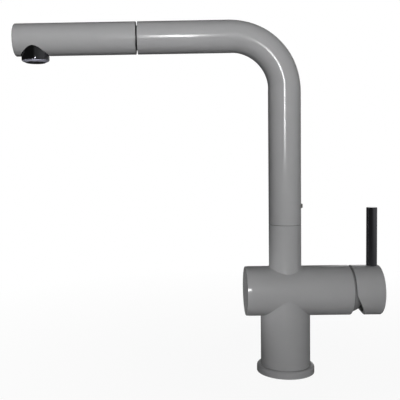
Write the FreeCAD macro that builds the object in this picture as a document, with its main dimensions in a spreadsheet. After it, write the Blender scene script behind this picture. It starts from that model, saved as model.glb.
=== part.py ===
import FreeCAD, Part

# Pull-out mixer tap for a kitchen sink, in millimetres.
# Origin: centre of the foot on the worktop. +Z up, +X towards the lever, the spout reaches towards -X.
import math
import os
import re

import Sketcher

V = FreeCAD.Vector

# Driving dimensions

SIZES = [
    ("barrel_radius", 21.65, "outside of the horizontal barrel and of the lever cap"),
    ("barrel_height", 71.3, "height of the barrel's axis"),
    ("barrel_left", 35.0, "from the column's axis to the closed end"),
    ("barrel_right", 55.5, "from the column's axis to the open rim"),
    ("end_disc_thick", 3.0, "thickness of the disc in the closed end"),
    ("end_disc_spigot", 1.5, "length of the disc's spigot"),
    ("core_radius", 17.0, "cored hollow behind the disc"),
    ("core_floor", 14.0, "from the column's axis to the hollow's floor"),
    ("column_inset", 0.2, "how much slimmer the column is than the barrel"),
    ("crease_step", 0.6, "how far the column stands proud where the crease was dressed"),
    ("dressed_radius", 23.35, "radius to which the crease was dressed"),
    ("dressed_rise", 1.85, "height of that radius above the barrel's axis"),
    ("crease_round", 0.35, "rounding of the column's dressed rim"),
    ("neck_top", 129.8, "top face of the neck"),
    ("neck_crease", 1.0, "fillet between neck and barrel"),
    ("rim_round", 0.5, "rounding of turned rims"),
    ("passage_radius", 7.5, "hose passage through body and shank"),
    ("neck_wall", 2.8, "wall of the neck round the bush"),
    ("neck_bore_floor", 92.0, "height of that bore's floor"),
    ("flange_ledge", 3.55, "how far the foot ring stands out from the column"),
    ("flange_height", 6.2, "height of the foot ring"),
    ("flange_round", 2.0, "rounding of its upper edge"),
    ("flange_fit", 0.05, "clearance of foot ring to column"),
    ("seal_setback", 0.95, "from the column to the foot seal"),
    ("seal_wide", 1.6, "width of the foot seal"),
    ("seal_height", 1.5, "height of the foot seal"),
    ("block_radius", 19.0, "inlet block in the foot of the column"),
    ("block_height", 16.0, "height of the inlet block"),
    ("port_circle", 13.2, "radius on which ports and studs stand"),
    ("port_radius", 4.6, "core of an M10x1 thread"),
    ("port_depth", 12.0, "depth of the port threads"),
    ("port_angle", 60.0, "angle of the hot and cold ports from the lever side"),
    ("stud_radius", 2.5, "core of an M6 thread"),
    ("stud_depth", 14.0, "depth of the stud threads"),
    ("stud_angle", 125.0, "angle of the studs from the lever side"),
    ("duct_radius", 3.0, "water ducts"),
    ("inlet_side", 7.4, "cartridge inlets beside the barrel's axis"),
    ("inlet_rise", 5.4, "cartridge inlets above the barrel's axis"),
    ("outlet_drop", 6.0, "cartridge outlet below the barrel's axis"),
    ("chamber_radius", 17.6, "cartridge chamber in the barrel"),
    ("chamber_floor", 27.0, "from the column's axis to the chamber's floor"),
    ("thread_radius", 18.6, "thread for the cartridge nut"),
    ("cartridge_radius", 17.5, "outside of the cartridge"),
    ("cartridge_wall", 2.0, "wall of the cartridge shell"),
    ("base_gap", 0.6, "gap under the cartridge's base, bridged by the seals"),
    ("base_thick", 5.4, "thickness of the cartridge's base"),
    ("seal_ring_outer", 4.6, "outside of a port seal"),
    ("seal_ring_inner", 3.2, "inside of a port seal"),
    ("seal_seat", 1.2, "depth of a port seal's seat"),
    ("disc_radius", 13.0, "fixed ceramic disc"),
    ("disc_thick", 3.2, "thickness of each ceramic disc"),
    ("slider_radius", 12.5, "moving ceramic disc"),
    ("slider_offset", 2.0, "how far the moving disc stands below the axis when shut"),
    ("slider_play", 0.02, "film of grease between the discs"),
    ("mixing_radius", 6.0, "mixing hollow in the moving disc"),
    ("mixing_depth", 1.5, "depth of that hollow"),
    ("holder_thick", 5.0, "thickness of the disc holder"),
    ("shoulder_x", 48.0, "shoulder of the cartridge shell, where the nut bears"),
    ("shell_neck_outer", 12.5, "outside of the cartridge shell's neck"),
    ("shell_neck_inner", 10.5, "inside of the cartridge shell's neck"),
    ("shell_neck_end", 56.0, "end of the cartridge shell's neck"),
    ("running_gap", 0.05, "running clearance of turning fits"),
    ("carrier_flange", 14.8, "flange of the turning carrier"),
    ("carrier_flange_thick", 1.4, "thickness of that flange"),
    ("slot_width", 8.6, "slot in the carrier for the stem"),
    ("slot_height", 13.0, "height of that slot"),
    ("carrier_ring_inner", 9.0, "groove of the carrier's ring seal"),
    ("carrier_ring_start", 48.5, "start of that groove"),
    ("carrier_ring_wide", 2.0, "width of that groove"),
    ("pivot_x", 52.0, "pivot on which the lever tilts"),
    ("pivot_radius", 2.0, "pivot pin"),
    ("pivot_length", 18.0, "length of the pivot pin"),
    ("stem_side", 8.0, "side of the lever's square stem"),
    ("stem_end", 77.0, "outer end of the stem"),
    ("stem_arm", 9.0, "from the pivot to the centre of the stem's ball"),
    ("stem_arm_radius", 1.9, "stem between pivot and ball"),
    ("ball_radius", 2.4, "ball that drives the disc holder"),
    ("ball_play", 0.35, "clearance round the ball"),
    ("nut_start", 48.0, "inner face of the cartridge nut"),
    ("nut_end", 54.4, "outer face of the cartridge nut"),
    ("nut_bore", 12.8, "bore of the cartridge nut"),
    ("nut_boss_radius", 14.7, "boss that the bonnet is pressed on"),
    ("nut_boss_end", 57.0, "end of that boss"),
    ("nut_notch", 4.0, "width of the notches for the spanner"),
    ("nut_notch_deep", 1.8, "depth of those notches"),
    ("bonnet_radius", 16.4, "outside of the bonnet"),
    ("bonnet_wall", 1.4, "wall of the bonnet"),
    ("bonnet_start", 54.6, "start of the bonnet's skirt"),
    ("bonnet_end", 63.2, "crown of the bonnet"),
    ("bonnet_round", 4.2, "rounding of the bonnet's crown"),
    ("bonnet_mouth", 12.2, "opening in the crown for the stem"),
    ("cap_rim", 57.3, "inner rim of the lever cap"),
    ("cap_end", 81.9, "outer face of the lever cap"),
    ("cap_bore", 18.65, "hollow of the lever cap"),
    ("cap_floor", 70.5, "floor of that hollow"),
    ("cap_round", 2.0, "rounding of the cap's outer edge"),
    ("cap_knee", 0.5, "how far below the axis the cap's rim starts to slant"),
    ("cap_slant", 27.4, "slant of the rim below the knee, in degrees"),
    ("socket_play", 0.05, "clearance of the square socket round the stem"),
    ("pin_x", 75.7, "from the column's axis to the lever pin"),
    ("pin_radius", 4.6, "outside of the lever pin"),
    ("pin_top", 143.8, "top of the lever pin"),
    ("pin_round", 0.7, "rounding of the pin's top edge"),
    ("pin_seat", 19.5, "height of the pin's seat above the barrel's axis"),
    ("pin_stud", 3.0, "threaded stud of the pin"),
    ("grub_radius", 2.5, "grub screw under the cap"),
    ("grub_length", 10.0, "length of that grub screw"),
    ("tube_radius", 14.0, "outside of spout and spray head"),
    ("tube_wall", 1.2, "wall of the spout tube"),
    ("tube_height", 293.0, "height of the spout's axis"),
    ("bend_radius", 48.0, "centreline radius of the bend"),
    ("swivel_gap", 0.6, "thickness of the glide washer in the swivel seam"),
    ("washer_inset", 0.8, "how far the glide washer stands back in the seam"),
    ("spout_end", 126.3, "from the column's axis to the spout's open end"),
    ("tube_round", 0.35, "rounding of the tube ends"),
    ("screw_height", 145.8, "height of the screw at the back of the spout"),
    ("screw_radius", 2.0, "that screw"),
    ("screw_proud", 1.3, "how far it stands out"),
    ("screw_length", 4.6, "length of that screw"),
    ("tube_fit", 0.05, "clearance in the tube of the shank's head and the docking sleeve"),
    ("shank_head_top", 152.0, "top of that head"),
    ("bush_room", 1.4, "room for the bush between neck and shank"),
    ("shank_flare", 3.0, "how far the shank's mouth flares, where the hose glides"),
    ("shank_floor_gap", 0.5, "gap under the shank's end"),
    ("bush_bottom", 99.4, "lower end of the neck bush"),
    ("shank_wall", 2.3, "wall of the shank"),
    ("ring_depth", 1.2, "depth of the grooves for the guide rings"),
    ("ring_wide", 2.0, "width of those grooves"),
    ("ring_low", 103.0, "lower guide ring"),
    ("ring_high", 124.0, "upper guide ring"),
    ("snap_start", 97.6, "lower face of the snap ring"),
    ("snap_wide", 1.4, "width of the snap ring"),
    ("snap_bite", 0.9, "how deep the snap ring sits in the shank"),
    ("snap_stand", 1.0, "how far the snap ring stands out from the shank"),
    ("snap_open", 50.0, "opening of the snap ring, in degrees"),
    ("stop_radius", 1.0, "stop pin of the swivel"),
    ("stop_inset", 1.1, "from the shank's outside to the stop pin"),
    ("stop_top", 95.8, "top of the stop pin"),
    ("stop_sunk", 4.0, "how deep the stop pin sits in the body"),
    ("notch_top", 96.4, "top of the notch in the shank's end"),
    ("notch_reach", 114.0, "half the notch's angle, in degrees"),
    ("seam_gap", 0.8, "gap between spout and spray head"),
    ("sleeve_wall", 1.85, "wall of the docking sleeve"),
    ("sleeve_length", 24.0, "length of the docking sleeve"),
    ("sleeve_setback", 0.4, "how far the sleeve stands back from the spout's end"),
    ("sleeve_play", 0.4, "clearance of the spigot in the sleeve"),
    ("spigot_length", 19.0, "length of the spigot behind the seam"),
    ("spigot_wall", 2.3, "wall of the spigot"),
    ("spigot_seat", 5.6, "depth of the spigot's flange in the spray head"),
    ("spigot_groove", 1.3, "depth of the groove for the spigot's ring"),
    ("head_end", 232.0, "from the column's axis to the closed end of the spray head"),
    ("head_wall", 1.4, "wall of the spray head"),
    ("head_end_wall", 2.0, "end wall of the spray head"),
    ("head_round", 0.9, "rounding of its closed end"),
    ("nozzle_x", 214.9, "from the column's axis to the nozzle"),
    ("nozzle_hole", 12.4, "hole in the spray head's underside"),
    ("nozzle_radius", 11.9, "outside of the nozzle housing"),
    ("nozzle_edge", 18.0, "from the spout's axis down to the housing's bevel"),
    ("nozzle_low", 19.7, "from the spout's axis down to the housing's lower face"),
    ("nozzle_mouth", 8.35, "mouth of the housing"),
    ("nozzle_bore", 10.4, "bore of the housing"),
    ("nozzle_shelf", 16.8, "from the spout's axis down to the housing's shelf"),
    ("nozzle_top", 5.6, "from the spout's axis down to the housing's top"),
    ("aerator_radius", 8.2, "aerator in the mouth"),
    ("aerator_set", 0.5, "how far the aerator stands back in the mouth"),
    ("aerator_flange", 10.25, "flange of the aerator on the shelf"),
    ("aerator_flange_thick", 2.0, "thickness of that flange"),
    ("aerator_bore", 7.0, "inside of the aerator"),
    ("grid_thick", 1.0, "thickness of the aerator's grid"),
    ("grid_hole", 0.85, "holes of the grid"),
    ("grid_pitch", 2.7, "spacing of those holes"),
    ("gasket_inner", 7.6, "inside of the washer above the aerator"),
    ("gasket_thick", 1.8, "thickness of that washer"),
    ("waterway_head", 10.2, "waterway's head inside the housing"),
    ("waterway_top", 6.0, "top of that head above the spout's axis"),
    ("channel_outer", 5.2, "outside of the water channel"),
    ("channel_radius", 3.6, "water channel"),
    ("inlet_wall", 2.05, "wall of the waterway's inlet socket, an M15x1 thread"),
    ("inlet_start", 132.9, "start of the inlet socket"),
    ("inlet_floor", 140.0, "floor of the inlet socket"),
    ("valve_radius", 5.6, "bore for the non-return valve"),
    ("valve_end", 148.0, "end of that bore"),
    ("valve_body", 5.5, "outside of the non-return valve"),
    ("nut_step", 0.5, "step of the hose nut behind its collar"),
    ("nut_play", 0.4, "clearance of the hose nut's collar in the spigot"),
    ("nut_collar_end", 131.0, "end of that collar"),
    ("hose_radius", 4.5, "outside of the pull-out hose"),
    ("hose_bore", 3.0, "inside of the pull-out hose"),
    ("hose_lap", 2.0, "straight stretch of the riser past the bend"),
    ("ferrule_radius", 6.0, "crimped ferrule of the hose"),
    ("ferrule_start", 106.0, "start of the ferrule"),
    ("ferrule_end", 120.0, "end of the ferrule"),
]

document = FreeCAD.newDocument("pull_out_mixer_tap")
sheet = document.addObject("Spreadsheet::Sheet", "sizes")
for row, (alias, number, meaning) in enumerate(SIZES, 1):
    sheet.set("A%d" % row, alias)
    sheet.set("B%d" % row, str(number))
    sheet.set("C%d" % row, meaning)
    sheet.setAlias("B%d" % row, alias)
document.recompute()
size = {alias: float(sheet.get(alias)) for alias, number, meaning in SIZES}

pieces = []

# Helpers: bound values, frames and outlines


def formula(text):
    """Puts the sheet's name before each of its words."""
    return re.sub(r"[a-z_]+", lambda word: "sizes." + word.group() if word.group() in size else word.group(), text)


def bind(item, **values):
    """Binds properties to the sheet."""
    for name, text in values.items():
        item.setExpression(name, formula(text))


# Each frame is a turn and a place. Its local Z is the piece's own axis.
TURN = {
    "up": FreeCAD.Rotation(V(0, 0, 1), 0),
    "right": FreeCAD.Rotation(V(0, 1, 0), 90),
    "left": FreeCAD.Rotation(V(0, 1, 0), -90),
    "back": FreeCAD.Rotation(V(1, 0, 0), -90),
}


def lay(item, turn, x="0", y="0", z="0"):
    """Turns an item's local Z to a direction and binds its place."""
    item.Placement = FreeCAD.Placement(V(0, 0, 0), TURN[turn])
    for path, text in (("Placement.Base.x", x), ("Placement.Base.y", y), ("Placement.Base.z", z)):
        if text != "0":
            item.setExpression(path, formula(text))
    return item


def keep(item, label):
    """Marks an item as a finished piece under its own name."""
    item.Label = label
    pieces.append(item)
    return item


def origin_plane(body, role):
    return next(feature for feature in body.Origin.OriginFeatures if feature.Role == role)


def new_sketch(body, name, plane="XZ_Plane"):
    sketch = body.newObject("Sketcher::SketchObject", name)
    sketch.AttachmentSupport = (origin_plane(body, plane), [""])
    sketch.MapMode = "FlatFace"
    return sketch


def draw_outline(sketch, points, guess_at=(30, 30), guess_turn=0):
    """Draws a closed outline whose corners are bound to the sheet, as (across, along) pairs.

    Its corners start on a circle about guess_at, on the side of the axes where they will lie.
    """
    count = len(points)
    angles = [guess_turn + 2 * math.pi * k / count for k in range(count)]
    guess = [V(guess_at[0] + 10 * math.cos(angle), guess_at[1] + 10 * math.sin(angle), 0) for angle in angles]
    for k in range(count):
        sketch.addGeometry(Part.LineSegment(guess[k], guess[(k + 1) % count]), False)
    for k in range(count):
        sketch.addConstraint(Sketcher.Constraint("Coincident", k, 2, (k + 1) % count, 1))
    for k, (across, along) in enumerate(points):
        for kind, text, start, axis in (("DistanceX", across, guess[k].x, -2), ("DistanceY", along, guess[k].y, -1)):
            if text == "0":
                sketch.addConstraint(Sketcher.Constraint("PointOnObject", k, 1, axis))
            else:
                number = sketch.addConstraint(Sketcher.Constraint(kind, -1, 1, k, 1, start))
                sketch.setExpression("Constraints[%d]" % number, formula(text))


def circle_edges(shape, radius, height):
    """Names the circular edges of a radius at a height of the local frame."""
    return ["Edge%d" % number for number, edge in enumerate(shape.Edges, 1)
            if isinstance(edge.Curve, Part.Circle) and abs(edge.Curve.Radius - radius) < 0.01
            and abs(edge.Curve.Center.z - height) < 0.01]


def turned(name, points, rounds=()):
    """A turned body: an outline of (radius, height) corners spun about local Z.

    rounds holds pairs of corner number and radius of the rounding.
    """
    body = document.addObject("PartDesign::Body", name)
    sketch = new_sketch(body, name + "_outline")
    draw_outline(sketch, points)
    spin = body.newObject("PartDesign::Revolution", name + "_spin")
    spin.Profile = sketch
    spin.ReferenceAxis = (sketch, ["V_Axis"])
    spin.Angle = 360
    document.recompute()
    last = spin
    for corner, radius in rounds:
        spot = sketch.getPoint(corner, 1)
        edges = circle_edges(last.Shape, spot.x, spot.y)
        fillet = body.newObject("PartDesign::Fillet", "%s_round_%d" % (name, corner))
        fillet.Base = (last, edges)
        bind(fillet, Radius=radius)
        document.recompute()
        last = fillet
    return body


def ring(name, inner, outer, start, end, rounds=()):
    """A turned ring between two heights."""
    return turned(name, [(inner, start), (outer, start), (outer, end), (inner, end)], rounds)


def rod(radius, length, turn="up", x="0", y="0", z="0"):
    """A plain cylinder, mostly as a drill."""
    item = document.addObject("Part::Cylinder", "rod")
    bind(item, Radius=radius, Height=length)
    return lay(item, turn, x, y, z)


def block(length, width, height, x, y, z):
    """A plain box from its low corner."""
    item = document.addObject("Part::Box", "block")
    bind(item, Length=length, Width=width, Height=height)
    return lay(item, "up", x, y, z)


def joined(items, name="joined"):
    item = document.addObject("Part::MultiFuse", name)
    item.Shapes = items
    item.Refine = True
    return item


def cut(base, tools, name="cut"):
    item = document.addObject("Part::Cut", name)
    item.Base = base
    item.Tool = tools[0] if len(tools) == 1 else joined(tools, name + "_tools")
    return item


def rounded(base, choices, name="rounded"):
    """Rounds edges of a Part solid. choices holds pairs of a test on an edge and a radius."""
    document.recompute()
    item = document.addObject("Part::Fillet", name)
    item.Base = base
    item.Edges = [(number, radius, radius) for number, edge in enumerate(base.Shape.Edges, 1)
                  for test, radius in choices if test(edge)]
    return item


def is_circle(radius, direction, place):
    """A test for the circular edge of a radius about a direction at a place along it."""
    def test(edge):
        return (isinstance(edge.Curve, Part.Circle) and abs(edge.Curve.Radius - radius) < 0.01
                and abs(edge.Curve.Center.dot(direction) - place) < 0.01
                and abs(abs(edge.Curve.Axis.dot(direction)) - 1) < 0.001)
    return test


def is_saddle(radius):
    """A test for an uneven edge that lies on an upright cylinder of a radius about the column's axis."""
    def test(edge):
        if isinstance(edge.Curve, (Part.Circle, Part.Line)) or edge.Length < radius:
            return False
        points = edge.discretize(9)
        return all(abs(math.hypot(point.x, point.y) - radius) < 0.02 for point in points)
    return test


UP = V(0, 0, 1)
RIGHT = V(1, 0, 0)

# Sizes that follow others, as formula texts

column = "(barrel_radius - column_inset)"
tube_bore = "(tube_radius - tube_wall - tube_fit)"
foot = column + " + flange_ledge"
seal_inside = column + " + seal_setback"
seal_outside = seal_inside + " + seal_wide"
neck_bore = "(tube_radius - neck_wall)"
shank_outside = "(%s - bush_room)" % neck_bore
shank_bore = "(%s - shank_wall)" % shank_outside
stop_circle = "(%s - stop_inset)" % shank_outside
sleeve_bore = "(%s - sleeve_wall)" % tube_bore
sleeve_mouth = "(%s + %s) / 2" % (sleeve_bore, tube_bore)
spigot_outside = "(%s - sleeve_play)" % sleeve_bore
spigot_bore = "(%s - spigot_wall)" % spigot_outside
nut_collar = "(%s - nut_play)" % spigot_bore
nut_outside = "(%s - nut_step)" % nut_collar
inlet_bore = "(%s + running_gap)" % nut_outside
inlet_outside = "(%s + inlet_wall)" % inlet_bore

# Body of the tap: barrel, column and neck, then its foot

port_places = {
    "hot": ("port_circle * cos(port_angle)", "port_circle * sin(port_angle)"),
    "cold": ("port_circle * cos(port_angle)", "-port_circle * sin(port_angle)"),
    "mixed": ("port_circle", "0"),
}
stud_places = [("port_circle * cos(stud_angle)", "port_circle * sin(stud_angle)"),
               ("port_circle * cos(stud_angle)", "-port_circle * sin(stud_angle)")]


def make_casting():
    """Barrel, neck and column as one casting, with its crease dressed and its rims rounded."""
    barrel = rod("barrel_radius", "barrel_left - end_disc_thick + barrel_right", "right",
                 x="-(barrel_left - end_disc_thick)", z="barrel_height")
    neck = rod("tube_radius", "neck_top - barrel_height", z="barrel_height")
    core = rod(column + " - crease_step", "barrel_height")
    sleeve = rod(column, "barrel_height")
    dresser = rod("dressed_radius", "4 * barrel_radius", "right", x="-2 * barrel_radius",
                  z="barrel_height + dressed_rise")
    sleeve = cut(sleeve, [dresser], "column_sleeve")
    outside = size["barrel_radius"] - size["column_inset"]
    sleeve = rounded(sleeve, [(is_saddle(outside), size["crease_round"])], "dressed_column")
    casting = joined([barrel, neck, core, sleeve], "casting")
    return rounded(casting, [
        (is_saddle(size["tube_radius"]), size["neck_crease"]),
        (is_circle(size["barrel_radius"], RIGHT, size["barrel_right"]), size["rim_round"]),
        (is_circle(size["tube_radius"], UP, size["neck_top"]), size["rim_round"]),
    ], "smooth_casting")


def water_drills():
    """Ducts up the column and across to the cartridge's seat."""
    drills = []
    for name, (x, y) in port_places.items():
        level = "barrel_height - outlet_drop" if name == "mixed" else "barrel_height + inlet_rise"
        side = {"hot": "inlet_side", "cold": "-inlet_side", "mixed": "0"}[name]
        start = "port_circle" if name == "mixed" else "passage_radius"
        drills.append(rod("duct_radius", level + " + duct_radius / 2", x=x, y=y))
        drills.append(rod("duct_radius", "chamber_floor - %s + 1" % start, "right", x=start, y=side, z=level))
    return drills


def make_inlet_block():
    """Brass block pressed into the column's foot, with the supply ports, the stud holes and the hose passage."""
    drills = [rod("passage_radius", "block_height")]
    for x, y in port_places.values():
        drills.append(rod("port_radius", "port_depth", x=x, y=y))
        drills.append(rod("duct_radius", "block_height", x=x, y=y))
    for x, y in stud_places:
        drills.append(rod("stud_radius", "stud_depth", x=x, y=y))
    keep(cut(rod("block_radius", "block_height"), drills, "drilled_block"), "inlet_block")


def make_tap_body():
    drills = water_drills()
    drills.append(rod("block_radius", "block_height"))
    drills.append(rod("core_radius", "barrel_left - end_disc_thick - core_floor", "right",
                      x="-(barrel_left - end_disc_thick)", z="barrel_height"))
    drills.append(rod("chamber_radius", "barrel_right - chamber_floor", "right",
                      x="chamber_floor", z="barrel_height"))
    drills.append(rod("thread_radius", "barrel_right - nut_start + 1", "right",
                      x="nut_start - 1", z="barrel_height"))
    drills.append(rod("passage_radius", "neck_top"))
    drills.append(rod(neck_bore, "neck_top - neck_bore_floor", z="neck_bore_floor"))
    drills.append(rod("stop_radius", "stop_sunk", x="-" + stop_circle, z="neck_bore_floor - stop_sunk"))
    keep(cut(make_casting(), drills, "bored_casting"), "tap_body")


def make_body_trim():
    """The disc in the closed end, the foot ring with its seal, and the swivel's fixed pieces."""
    disc = turned("end_disc", [
        ("0", "barrel_left"), ("0", "barrel_left - end_disc_thick - end_disc_spigot"),
        ("core_radius", "barrel_left - end_disc_thick - end_disc_spigot"),
        ("core_radius", "barrel_left - end_disc_thick"), ("barrel_radius", "barrel_left - end_disc_thick"),
        ("barrel_radius", "barrel_left")], [(5, "rim_round")])
    keep(lay(disc, "left", z="barrel_height"), "barrel_end_disc")
    keep(turned("foot_ring", [
        (column + " + flange_fit", "0"), (seal_inside, "0"), (seal_inside, "seal_height"),
        (seal_outside, "seal_height"), (seal_outside, "0"), (foot, "0"),
        (foot, "flange_height"), (column + " + flange_fit", "flange_height")],
        [(6, "flange_round")]), "base_flange")
    keep(ring("foot_seal", seal_inside, seal_outside, "0", "seal_height"), "base_seal")
    keep(ring("bush", shank_outside + " + running_gap", neck_bore, "bush_bottom", "neck_top"), "neck_bush")
    keep(ring("glide", shank_outside + " + running_gap", "tube_radius - washer_inset", "neck_top",
              "neck_top + swivel_gap"),
         "swivel_washer")
    keep(rod("stop_radius", "stop_sunk + stop_top - neck_bore_floor", x="-" + stop_circle,
             z="neck_bore_floor - stop_sunk"), "swivel_stop_pin")


# Cartridge in the barrel, its axis along the barrel

base_start = "chamber_floor + base_gap"
base_end = base_start + " + base_thick"
slider_start = base_end + " + disc_thick + slider_play"
holder_start = slider_start + " + disc_thick"
cartridge_ports = [("inlet_side", "inlet_rise"), ("-inlet_side", "inlet_rise"), ("0", "-outlet_drop")]


def port_rods(radius, start, length):
    """A rod on each of the cartridge's three ports."""
    return [rod(radius, length, "right", x=start, y=side, z="barrel_height + " + rise)
            for side, rise in cartridge_ports]


def on_barrel(body):
    return lay(body, "right", z="barrel_height")


def make_cartridge_seat():
    """Base, seals and fixed disc."""
    base = on_barrel(turned("seat", [
        ("0", base_start), ("cartridge_radius", base_start), ("cartridge_radius", base_end), ("0", base_end)]))
    holes = port_rods("duct_radius", base_start, "base_thick") + port_rods("seal_ring_outer", base_start, "seal_seat")
    keep(cut(base, holes, "drilled_seat"), "cartridge_base")
    outside = joined(port_rods("seal_ring_outer", "chamber_floor", "base_gap + seal_seat"), "seal_outsides")
    inside = port_rods("seal_ring_inner", "chamber_floor", "base_gap + seal_seat")
    keep(cut(outside, inside, "seal_rings"), "port_seals")
    disc = on_barrel(turned("lower_disc", [
        ("0", base_end), ("disc_radius", base_end), ("disc_radius", base_end + " + disc_thick"),
        ("0", base_end + " + disc_thick")]))
    keep(cut(disc, port_rods("duct_radius", base_end, "disc_thick"), "drilled_disc"), "fixed_disc")


def make_cartridge_shell():
    inner = "cartridge_radius - cartridge_wall"
    keep(on_barrel(turned("housing", [
        ("cartridge_radius", base_end), ("cartridge_radius", "shoulder_x"), ("shell_neck_outer", "shoulder_x"),
        ("shell_neck_outer", "shell_neck_end"), ("shell_neck_inner", "shell_neck_end"),
        ("shell_neck_inner", "shoulder_x - cartridge_wall"), (inner, "shoulder_x - cartridge_wall"),
        (inner, base_end)])), "cartridge_shell")


def make_cartridge_nut():
    """Threaded ring with four notches for a spanner in its outer face."""
    nut = turned("nut", [
        ("nut_bore", "nut_start"), ("thread_radius - running_gap", "nut_start"),
        ("thread_radius - running_gap", "nut_end"), ("nut_boss_radius", "nut_end"),
        ("nut_boss_radius", "nut_boss_end"), ("nut_bore", "nut_boss_end")])
    notch = new_sketch(nut, "notch_outline")
    draw_outline(notch, [
        ("bonnet_radius + 0.2", "nut_end - nut_notch_deep"), ("thread_radius + 1", "nut_end - nut_notch_deep"),
        ("thread_radius + 1", "nut_end + 1"), ("bonnet_radius + 0.2", "nut_end + 1")])
    pocket = nut.newObject("PartDesign::Pocket", "notch")
    pocket.Profile = notch
    pocket.SideType = "Symmetric"
    bind(pocket, Length="nut_notch")
    document.recompute()
    pattern = nut.newObject("PartDesign::PolarPattern", "notches")
    pattern.Originals = [pocket]
    pattern.Axis = (notch, ["V_Axis"])
    pattern.Angle = 360
    pattern.Occurrences = 4
    nut.Tip = pattern
    keep(on_barrel(nut), "cartridge_nut")


def make_bonnet():
    """Collar over the cartridge nut with a rounded crown, grey as the body."""
    inner = "bonnet_radius - bonnet_wall"
    keep(on_barrel(turned("collar", [
        (inner, "bonnet_start"), ("bonnet_radius", "bonnet_start"), ("bonnet_radius", "bonnet_end"),
        ("bonnet_mouth", "bonnet_end"), ("bonnet_mouth", "bonnet_end - bonnet_wall"),
        (inner, "bonnet_end - bonnet_wall")],
        [(2, "bonnet_round - 0.01"), (5, "bonnet_round - bonnet_wall - 0.02")])), "bonnet")


def make_moving_disc():
    """Ceramic disc with its mixing hollow, and the holder with a socket for the stem's ball."""
    low = "barrel_height - slider_offset"
    disc = lay(turned("upper_disc", [
        ("0", slider_start + " + mixing_depth"), ("mixing_radius", slider_start + " + mixing_depth"),
        ("mixing_radius", slider_start), ("slider_radius", slider_start), ("slider_radius", holder_start),
        ("0", holder_start)]), "right", z=low)
    keep(disc, "moving_disc")
    holder = lay(turned("holder", [
        ("0", holder_start), ("slider_radius", holder_start), ("slider_radius", holder_start + " + holder_thick"),
        ("0", holder_start + " + holder_thick")]), "right", z=low)
    socket = rod("ball_radius + ball_play", "holder_thick", "right",
                 x=holder_start + " + 0.6", z="barrel_height")
    keep(cut(holder, [socket], "socketed_holder"), "disc_holder")


def make_carrier():
    """The turning carrier with its slot, ring seal and pivot pin."""
    flange_start = "shoulder_x - cartridge_wall - running_gap - carrier_flange_thick"
    flange_end = "shoulder_x - cartridge_wall - running_gap"
    hub = "shell_neck_inner - running_gap"
    ring_end = "carrier_ring_start + carrier_ring_wide"
    body = on_barrel(turned("carrier", [
        ("0", flange_start), ("carrier_flange", flange_start), ("carrier_flange", flange_end), (hub, flange_end),
        (hub, "carrier_ring_start"), ("carrier_ring_inner", "carrier_ring_start"), ("carrier_ring_inner", ring_end),
        (hub, ring_end), (hub, "shell_neck_end"), ("0", "shell_neck_end")]))
    slot = block("shell_neck_end - shoulder_x + 8", "slot_width", "slot_height",
                 x="shoulder_x - 6", y="-slot_width / 2", z="barrel_height - slot_height / 2")
    pivot = {"turn": "back", "x": "pivot_x", "y": "-pivot_length / 2", "z": "barrel_height"}
    hole = rod("pivot_radius", "pivot_length", **pivot)
    keep(cut(body, [slot, hole], "slotted_carrier"), "lever_carrier")
    keep(on_barrel(ring("carrier_o_ring", "carrier_ring_inner", hub, "carrier_ring_start", ring_end)), "carrier_seal")
    keep(rod("pivot_radius", "pivot_length", **pivot), "lever_pivot_pin")


# Lever: stem, cap, pin and grub screw


def make_stem():
    """Square bar from the pivot into the cap, with a ball on its inner arm."""
    half = "stem_side / 2"
    bar = block("stem_end - pivot_x + " + half, "stem_side", "stem_side", x="pivot_x - " + half, y="-" + half,
                z="barrel_height - " + half)
    arm = rod("stem_arm_radius", "stem_arm", "right", x="pivot_x - stem_arm", z="barrel_height")
    ball = document.addObject("Part::Sphere", "ball")
    bind(ball, Radius="ball_radius")
    lay(ball, "up", x="pivot_x - stem_arm", z="barrel_height")
    hole = rod("pivot_radius + running_gap", "2 * stem_side", "back", x="pivot_x", y="-stem_side",
               z="barrel_height")
    keep(cut(joined([bar, arm, ball], "stem_bar"), [hole], "stem"), "lever_stem")


def make_cap():
    """Turned cap, hollow towards the barrel, with the lower half of its rim cut on a slant."""
    body = turned("cap", [
        ("0", "cap_floor"), ("cap_bore", "cap_floor"), ("cap_bore", "cap_rim"), ("barrel_radius", "cap_rim"),
        ("barrel_radius", "cap_end"), ("0", "cap_end")], [(4, "cap_round"), (3, "rim_round")])
    slant = new_sketch(body, "slant_outline")
    far = "barrel_radius + 2"
    draw_outline(slant, [
        ("cap_knee", "cap_rim - 1"), ("cap_knee", "cap_rim"),
        (far, "cap_rim + (%s - cap_knee) * tan(cap_slant)" % far), (far, "cap_rim - 1")])
    pocket = body.newObject("PartDesign::Pocket", "slant")
    pocket.Profile = slant
    pocket.SideType = "Symmetric"
    bind(pocket, Length="4 * barrel_radius")
    document.recompute()
    on_barrel(body)
    side = "stem_side + 2 * socket_play"
    socket = block("stem_end - cap_floor + 1", side, side, x="cap_floor - 1", y="-(%s) / 2" % side,
                   z="barrel_height - (%s) / 2" % side)
    seat = rod("pin_radius + socket_play", "barrel_radius", x="pin_x", z="barrel_height + pin_seat")
    thread = rod("pin_stud", "barrel_radius", x="pin_x", z="barrel_height")
    grub = rod("grub_radius", "barrel_radius", x="pin_x", z="barrel_height - barrel_radius")
    keep(cut(body, [socket, seat, thread, grub], "drilled_cap"), "lever_cap")


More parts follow.
